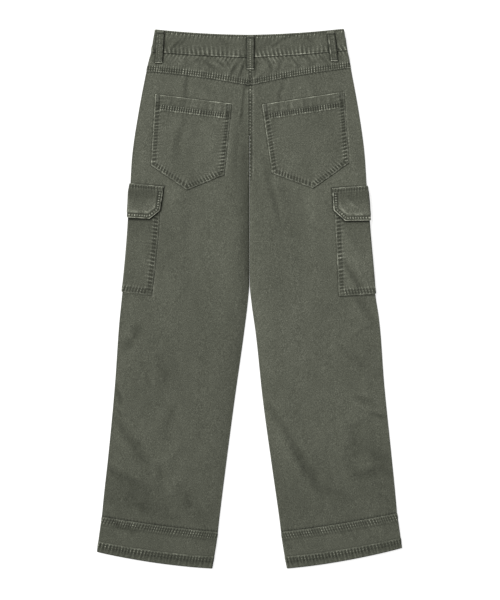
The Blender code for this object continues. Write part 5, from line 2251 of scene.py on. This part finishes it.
        # darker below the top seam: painted shade
        tone = tone + (lined - 0.22 * (1 - rise(top_edge, 12.0, 40.0)) + 0.03 * seed) * clear
        tone = tone + 0.05 * CLOUDS.at(p / 20 + 4 * seed, q / 20)
        if self.side is Side.RIGHT:
            ridge = Crease(((56.0, 322.0), (34.0, 336.0), (14.0, 352.0)), 5.0, -0.8).height(p, q)
            relief, tone = relief + 0.6 * ridge, tone + 0.08 * ridge
        top_row = ROW["flap_top"]
        over = np.interp(s, [top_row, top_row + 0.25], [0.0, POCKET_LIFT])
        loose = np.clip((s - top_row) / (ROW["flap_low"] - top_row), 0, 1) * rise(p, 0.0, 16.0)
        rows = [self.sewn(top[:2], middle, distance, (3.0, ROLL + 1)) for distance in self.flap_seam.rows]
        free = Outline(self.chain([*back, side]), middle).row(self.flap_edge.rows[0], 4.0)
        t = np.linspace(0, 1, 16)[:, None]
        flat = np.concatenate([start + (end - start) * t for start, end in zip(free, free[1:])])
        rows.append(self.on_back(flat[flat[:, 0] > ROLL * math.pi / 2]))
        return Cloth(
            f"cargo_flap_{self.side.word}", points, FLAP_WALL, GAP + over + FLAP_STAND * loose, plan,
            relief, tone, border=np.minimum(edge, top_edge),
            rests_on=(f"cargo_pocket_{self.side.word}", f"back_{self.side.word}"), rows=rows,
        )


THIGH_POCKETS = (
    ThighPocket(
        Side.LEFT,
        pocket_back=((-174.6, 361.9), (-188.3, 513.6)),
        pocket_front=((-156.0, 361.9), (-168.5, 513.6)),
        mouth=((-228.5, 316.8), (-165.0, 323.2)),
        bottom=((-244.9, 507.0), (-188.3, 513.6)),
        flap_back=((-165.0, 304.2), (-172.5, 350.5), (-192.1, 366.3), (-233.7, 363.4)),
        flap_front=((-152.0, 304.2), (-155.0, 350.5), (-174.0, 366.3), (-233.7, 363.4)),
        flap_top=((-228.5, 297.8), (-165.0, 304.2)),
    ),
    ThighPocket(
        Side.RIGHT,
        pocket_back=((165.4, 355.5), (172.5, 515.1)),
        pocket_front=((164.0, 355.5), (174.0, 515.1)),
        mouth=((227.3, 321.0), (159.4, 326.6)),
        bottom=((243.3, 510.3), (172.5, 515.1)),
        flap_back=((159.4, 307.6), (162.1, 350.0), (184.2, 370.2), (232.2, 369.4)),
        flap_front=((156.0, 307.6), (158.0, 350.0), (178.0, 370.2), (232.2, 369.4)),
        flap_top=((227.3, 302.0), (159.4, 307.6)),
    ),
)


# ---------------------------------------------------------------- belt loops
@dataclass(frozen=True)
class BeltLoop:
    """A narrow folded strip, tacked to the waistband's top and below its seam."""

    place: LoopPlace
    step: float = 0.9
    edge: SewnEdge = SewnEdge(
        rows=(2.4,), pitch=6.5, pucker=0.18, edge_light=0.0, light=0.0, dark=0.0,
        inner_light=0.0, fade=3.0, seed=60.0,
    )

    def build(self) -> Cloth:
        """The loop.

        Returns:
            The piece.
        """
        place, half = self.place, LOOP_WIDTH / 2
        v = spaced(place.down_low - place.down_top, self.step, FOLDED_EDGE, 0.0)[:, None]
        u = spaced(LOOP_WIDTH, self.step, FOLDED_EDGE, 0.0)[None, :] - half
        top, u = np.broadcast_arrays(v, u)
        length = float(v.max())
        low, side = length - top, half - np.abs(u)
        x = place.x_top + (place.x_low - place.x_top) * (top / length) + u
        down = place.down_top + top
        points = surface(place.layer, x, down)
        behind = place.layer is Layer.BACK
        s = LEGS[Side.LEFT if place.x_top < 0 else Side.RIGHT].row_at_x(x, down)
        arch, over = LOOP_ARCH if behind else 0.0, WAISTBAND_LIFT + GAP
        beside = (YOKE_LIFT if behind else 0.0) + GAP
        lift = np.interp(s, [0.0, 0.5, 0.93, 1.12], [over, over + arch, over + arch / 2, beside])
        bars = ripple(u, low, 3.6, 0.0, 61.0 + place.x_top)
        relief = self.edge.relief(side, down + 3 * np.sign(u)) + 0.15 * (1 - rise(top, 5.0, 6.5))
        relief = relief + 0.2 * bars * (1 - rise(low, 5.5, 7.5)) + 0.1 * CLOUDS.at(x / 6, down / 7)
        relief = relief + 0.35 * hump(np.abs(u), 4.4, 1.6) * rise(low, 2, 5)
        tone = -0.2 - 0.25 * (1 - rise(side, 0.2, 1.3)) + 1.0 * (1 - rise(low, 0.9, 1.9))
        for line, strength, dash in place.lines:
            dashes = np.clip(0.75 + 0.75 * ripple(top, 0.0 * top, dash, 0.0, 62.0 + line), 0.0, 1.5)
            tone = tone + 1.1 * strength * dashes * hump(u, line, 0.75) * rise(top, 6.0, 8.0)
        tone = tone + 0.5 * hump(top, 2.6, 1.7) - 0.6 * hump(top, 6.2, 1.0) - 0.55 * hump(low, 2.9, 0.8)
        tone = tone + (0.4 * bars - 0.1) * hump(low, 5.5, 2.0)
        return Cloth(
            place.name, points, LOOP_WALL, lift, None, relief, tone,
            border=np.minimum(side, np.minimum(top, low)), faces_up=behind, rests_on=self.held_by(),
            rows=self.rows() if behind else [], bars=self.tacks(length) if behind else [],
        )

    def rows(self) -> list[Array]:
        """A row of stitches along each long side.

        Returns:
            The two rows.
        """
        place, off = self.place, LOOP_WIDTH / 2 - self.edge.rows[0]
        start, end = (place.x_top, place.down_top + 7), (place.x_low, place.down_low - 8)
        return [np.array([start, end]) + (k * off, 0.0) for k in (-1, 1)]

    def tacks(self, length: float) -> list[Bar]:
        """A bar tack at each end.

        Args:
            length: the loop's length.

        Returns:
            The upper one and the lower one.
        """
        found, place = [], self.place
        for y, width in ((4.0, 3.0), (length - 4.2, 3.2)):
            middle, down = place.x_top + (place.x_low - place.x_top) * y / length, place.down_top + y
            found.append(((middle - 5.2, down), (middle + 5.2, down), width))
        return found

    def held_by(self) -> tuple[str, ...]:
        """The pieces that the loop lies on.

        Returns:
            The names of their nodes.
        """
        word = "left" if self.place.x_top < 0 else "right"
        if self.place.layer is Layer.BACK:
            return ("waistband_back", f"yoke_{word}")
        return (f"waistband_front_{word}", f"front_{word}")


BELT_LOOPS = tuple(BeltLoop(place) for place in LOOP_PLACES)


# ---------------------------------------------------------------- the front opening
@dataclass(frozen=True)
class FrontOpening:
    """Fly, closed zip and waist button, all on the hidden front."""

    step: float = 1.8
    button_x: float = 4.0
    button_down: float = 34.0
    button_radius: float = 8.5
    button_thickness: float = 1.9
    tooth_pitch: float = 2.2

    def fly(self) -> Cloth:
        """The strip over the zip, with a curved lower corner.

        Returns:
            The piece.
        """
        v = FLY_TOP + spaced(FLY_DOWN - FLY_TOP, self.step * 1.6, FOLDED_EDGE, 0.0)[:, None]
        past = np.clip(v - (FLY_DOWN - FLY_CORNER), 0, FLY_CORNER)
        reach = FLY_WIDTH - FLY_CORNER + np.sqrt(np.maximum(FLY_CORNER**2 - past**2, 1.0))
        share = spaced(FLY_WIDTH, self.step, FOLDED_EDGE, 0.0)[None, :] / FLY_WIDTH
        x = -CENTRE_GAP - (reach - CENTRE_GAP) * share
        down = np.broadcast_to(v, x.shape)
        points = surface(Layer.FRONT, x, down)
        edge = np.minimum(reach + x, FLY_DOWN - down)
        stitched = SewnEdge(rows=(2.2, 8.0), pitch=9.0, pucker=0.2, seed=70.0)
        return Cloth(
            "fly", points, FLY_WALL, GAP, None, np.minimum(stitched.relief(edge, down), 0),
            stitched.tone(edge, down), border=np.minimum(edge, down - FLY_TOP), faces_up=False,
            rests_on=("front_left",),
        )

    def zip_tape(self) -> Cloth:
        """The two tapes of the closed zip, as one.

        Returns:
            The piece.
        """
        v = ZIP_TOP + spaced(ZIP_LOW - ZIP_TOP, 3.0, (0.0, 0.6), 0.0)[:, None]
        u = spaced(ZIP_WIDTH, 1.5, (0.0, 0.5), 0.0)[None, :] - ZIP_WIDTH / 2
        x = np.where(np.abs(u + 0 * v) < 0.1, 0.1, u + 0 * v)
        return Cloth(
            "zip", surface(Layer.FRONT, x, np.broadcast_to(v, x.shape)), ZIP_WALL, -WALL - GAP - ZIP_WALL,
            faces_up=False, rests_on=("front_left", "front_right"),
        )


# ---------------------------------------------------------------- modelled parts
def take_active(name: str, finish: Material) -> Object:
    """Names the active object, bakes its place into its mesh and gives it a finish.

    Args:
        name: its name.
        finish: its material.

    Returns:
        The object.
    """
    made = bpy.context.object
    made.name = made.data.name = name
    bpy.ops.object.transform_apply(location=True, rotation=True, scale=True)
    made.data.materials.append(finish)
    return made


def mesh_arrays(made: Object) -> tuple[Array, list[list[int]]]:
    """A mesh's points and the point numbers of its faces."""
    points = np.array([vertex.co[:] for vertex in made.data.vertices])
    return points, [list(face.vertices) for face in made.data.polygons]


def joined_copies(name: str, template: Object, frames: Array, finish: Material) -> Object:
    """One object of many copies of a small part.

    Args:
        name: the object's name.
        template: the part, whose mesh is in millimetres; it is removed.
        frames: for each copy, its origin and its three axes, in rows.
        finish: its material.

    Returns:
        The object.
    """
    points, faces = mesh_arrays(template)
    bpy.data.objects.remove(template)
    placed = frames[:, :1] + np.einsum("pa,fac->fpc", points, frames[:, 1:])
    corners = [[corner + k * len(points) for corner in face] for k in range(len(frames)) for face in faces]
    return make_object(name, placed.reshape(-1, 3), corners, finish)


@dataclass(frozen=True)
class Sewing:
    """Rows of lock stitches and bar tacks, laid on the outer face of a piece."""

    stitch: float = 3.0
    gap: float = 0.9
    width: float = 0.62
    height: float = 0.36
    tack_pitch: float = 0.62

    def template(self) -> Object:
        """One stitch: a thread end that bends into the cloth at both ends, 1 mm by 1 mm by 1 mm.

        Returns:
            The stitch.
        """
        bpy.ops.mesh.primitive_uv_sphere_add(segments=6, ring_count=4, radius=0.5)
        bpy.ops.object.mode_set(mode="EDIT")
        bpy.ops.mesh.select_all(action="SELECT")
        bpy.ops.transform.rotate(
            value=math.pi / 2, orient_axis="Y", center_override=(0, 0, 0), orient_type="GLOBAL"
        )
        bpy.ops.object.mode_set(mode="OBJECT")
        return bpy.context.object

    def frames(self, tree: BVHTree, starts: Array, ends: Array) -> list[Array]:
        """Lays threads on the cloth between pairs of (x, down) places.

        Args:
            tree: the cloth's outer face.
            starts: where the threads start.
            ends: where they end.

        Returns:
            For each thread its origin and its three axes.
        """
        found = []
        for start, end in zip(starts, ends):
            hits = [
                tree.ray_cast(Vector((x, LENGTH / 2 - down, 60.0)), Vector((0, 0, -1)))
                for x, down in (start, (start + end) / 2, end)
            ]
            if any(hit[0] is None for hit in hits) or min(abs(hit[1].z) for hit in hits) < 0.3:
                continue
            first, middle, last = (np.array(hit[0]) for hit in hits)
            normal = np.array(hits[1][1])
            normal *= np.sign(normal[2])
            along = last - first
            length = np.linalg.norm(along)
            if length > 2.5 * np.hypot(*(end - start)):
                continue
            side = np.cross(normal, along / length)
            side /= np.linalg.norm(side)
            up = np.cross(along / length, side)
            centre = (first + last + middle * 2) / 4 + up * 0.1
            found.append(np.stack([centre, along, side * self.width, up * self.height]))
        return found

    def along_row(self, row: Array) -> tuple[Array, Array]:
        """Where the stitches of a row start and end.

        Args:
            row: the corners of the row, as (x, down) places.

        Returns:
            The starts and the ends, as (x, down) places.
        """
        travelled = np.concatenate([[0.0], np.cumsum(np.hypot(*np.diff(row, axis=0).T))])
        count = int((travelled[-1] - self.gap) / (self.stitch + self.gap))
        starts = np.arange(count) * (self.stitch + self.gap) + self.gap / 2
        places = [
            np.stack([np.interp(at, travelled, row[:, k]) for k in (0, 1)], axis=-1)
            for at in (starts, starts + self.stitch)
        ]
        return places[0], places[1]

    def across_bar(self, bar: Bar) -> tuple[Array, Array]:
        """The close crosswise threads of a bar tack, which lean one way and then the other.

        Args:
            bar: the bar tack.

        Returns:
            The starts and the ends, as (x, down) places.
        """
        start, end = np.array(bar[0]), np.array(bar[1])
        length = float(np.hypot(*(end - start)))
        along = (end - start) / length
        side = np.array([-along[1], along[0]]) * bar[2] / 2
        t = np.arange(0, length, self.tack_pitch)[:, None]
        lean = along * self.tack_pitch * 0.6
        return start + along * t + side - lean, start + along * t - side + lean

    def build(self, cloth: Cloth, finish: Material) -> Object | None:
        """The sewing of one piece.

        Args:
            cloth: the piece, which is built.
            finish: the thread's material.

        Returns:
            All its threads as one object, or nothing if it has none.
        """
        if not cloth.rows and not cloth.bars:
            return None
        tree = cloth.tree()
        threads = [self.along_row(row) for row in cloth.rows] + [self.across_bar(bar) for bar in cloth.bars]
        found = [frame for ends in threads for frame in self.frames(tree, *ends)]
        made = joined_copies(f"{cloth.node}_sewing", self.template(), np.stack(found), finish)
        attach(made, "root")
        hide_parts(cloth.node)
        return made


@dataclass(frozen=True)
class WaistButton:
    """A stamped button on the hidden front, with a raised rim and a dished face."""

    opening: FrontOpening = FrontOpening()

    DISH = ((1.1, 0.0), (0.3, -0.45), (2.6, -0.1), (1.2, 0.25))  # width and height of each ring, inwards

    def build(self, finish: Material) -> Object:
        """The button, whose face is on the surface.

        Args:
            finish: its material.

        Returns:
            The object.
        """
        size = self.opening
        bpy.ops.mesh.primitive_cylinder_add(
            vertices=48,
            radius=size.button_radius * MM,
            depth=(size.button_thickness - FLOOR_CLEARANCE) * MM,
            location=(
                size.button_x * MM,
                (LENGTH / 2 - size.button_down) * MM,
                (size.button_thickness + FLOOR_CLEARANCE) / 2 * MM,
            ),
        )
        made = take_active("waist_button_metal", finish)
        bpy.ops.object.mode_set(mode="EDIT")
        bpy.ops.mesh.select_mode(type="FACE")
        bpy.ops.mesh.select_all(action="DESELECT")
        bpy.ops.object.mode_set(mode="OBJECT")
        for face in made.data.polygons:
            face.select = face.normal.z < -0.9
        bpy.ops.object.mode_set(mode="EDIT")
        for thickness, depth in self.DISH:
            bpy.ops.mesh.inset(thickness=thickness * MM, depth=depth * MM)
        bpy.ops.object.mode_set(mode="OBJECT")
        bevel = made.modifiers.new("rounded_rim", "BEVEL")
        bevel.width = 0.3 * MM
        bevel.segments = 3
        bevel.limit_method = "ANGLE"
        bpy.ops.object.modifier_apply(modifier=bevel.name)
        bpy.ops.object.shade_smooth_by_angle(angle=math.radians(40))
        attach(made, "root")
        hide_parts("waist_button")
        return made


@dataclass(frozen=True)
class ZipTeeth:
    """The closed teeth of the zip, in the middle of its tape."""

    opening: FrontOpening = FrontOpening()
    long: float = 3.4
    wide: float = 1.1
    deep: float = 0.9

    def build(self, finish: Material) -> Object:
        """The teeth as one object, each half sunk in the tape.

        Args:
            finish: their material.

        Returns:
            The object.
        """
        bpy.ops.mesh.primitive_cube_add(size=1.0)
        template = bpy.context.object
        bevel = template.modifiers.new("rounded", "BEVEL")
        bevel.width = 0.2
        bevel.segments = 1
        bpy.ops.object.modifier_apply(modifier=bevel.name)
        down = np.arange(ZIP_TOP + 3, ZIP_LOW - 3, self.opening.tooth_pitch)
        left = surface(Layer.FRONT, np.full(len(down), -0.3), down)
        right = surface(Layer.FRONT, np.full(len(down), 0.3), down)
        middle = (left + right) / 2
        middle[:, 0] = np.where(np.arange(len(down)) % 2, 0.5, -0.5)
        middle[:, 2] += WALL + GAP + ZIP_WALL / 2
        frames = np.zeros((len(down), 4, 3))
        frames[:, 0] = middle
        frames[:, 1, 0], frames[:, 2, 1], frames[:, 3, 2] = self.long, self.wide, self.deep
        made = joined_copies("zip_teeth", template, frames, finish)
        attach(made, "root")
        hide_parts("zip")
        return made


# ---------------------------------------------------------------- surroundings
@dataclass(frozen=True)
class Studio:
    """A white table under soft light from the upper left, seen from straight above."""

    lens: float = 100.0
    sensor: float = 36.0
    look_at: tuple[float, float, float] = (0.001, -0.0024, 0.008)
    table: float = 9.0
    distance: float = 3.2083
    key_energy: float = 3.7
    key_elevation: float = 42.0
    key_turn: float = 55.0  # how far the light comes from the left of the waist
    key_softness: float = 34.0
    fill_energy: float = 0.42

    def floor(self, finish: Material) -> Object:
        """The table top.

        Args:
            finish: its material.

        Returns:
            The object.
        """
        bpy.ops.mesh.primitive_plane_add(size=self.table)
        made = take_active("table_top", finish)
        return made

    def lights(self) -> None:
        """A soft key and an even fill from all round."""
        bpy.ops.object.light_add(type="SUN")
        key = bpy.context.object
        key.name = "key_light"
        key.data.energy = self.key_energy
        key.data.angle = math.radians(self.key_softness)
        turn, height = math.radians(self.key_turn), math.radians(self.key_elevation)
        away = Vector(
            (-math.sin(turn) * math.cos(height), math.cos(turn) * math.cos(height), math.sin(height))
        )
        key.rotation_euler = away.to_track_quat("Z", "Y").to_euler()
        world = bpy.context.scene.world or bpy.data.worlds.new("studio")
        bpy.context.scene.world = world
        world.use_nodes = True
        shown = world.node_tree.nodes["Background"]
        shown.inputs["Color"].default_value = (1.0, 1.0, 1.0, 1.0)
        shown.inputs["Strength"].default_value = self.fill_energy

    def camera(self) -> None:
        """A long lens straight above, with the waist at the top."""
        x, y, z = self.look_at
        bpy.ops.object.camera_add(location=(x, y, z + self.distance), rotation=(0, 0, 0))
        made = bpy.context.object
        made.name = "camera"
        made.data.lens = self.lens
        made.data.sensor_width = self.sensor
        bpy.context.scene.camera = made


# ---------------------------------------------------------------- the whole
def cloth_pieces() -> list[Cloth]:
    """Every piece of cloth, from those that lie lowest up.

    Returns:
        The pieces, which are not built yet.
    """
    panels = [LegPanels(side) for side in Side]
    bands = [HemBands(side) for side in Side]
    waistband, opening = Waistband(), FrontOpening()
    found = [opening.fly(), opening.zip_tape()]
    for leg, band in zip(panels, bands):
        found += [leg.front(), leg.back(), leg.yoke(), band.build(Layer.FRONT), band.build(Layer.BACK)]
    found += [waistband.front(side) for side in Side] + [waistband.back()]
    found += [pocket.build() for pocket in SEAT_POCKETS]
    for pocket in THIGH_POCKETS:
        found += [pocket.pocket(), pocket.flap()]
    return found + [loop.build() for loop in BELT_LOOPS]


def main() -> None:
    """Builds the trousers and their surroundings."""
    logging.basicConfig(level=logging.INFO, format="%(message)s")
    bpy.ops.object.select_all(action="DESELECT")
    bpy.context.scene.view_settings.view_transform = "Standard"
    twill = GarmentDyedTwill().make()
    tape, thread, metal = TapeWeave().make(), SewingThread().make(), AgedSteel().make()
    sewing = Sewing()
    for cloth in cloth_pieces():
        is_zip = cloth.node == "zip"
        piece = cloth.build(tape if is_zip else twill)
        added = ZipTeeth().build(metal) if is_zip else sewing.build(cloth, thread)
        cloth.declare(piece, [added] if added else [])
    WaistButton().build(metal)
    studio = Studio()
    studio.floor(OpalTable().make())
    studio.lights()
    studio.camera()


if __name__ == "__main__":
    main()
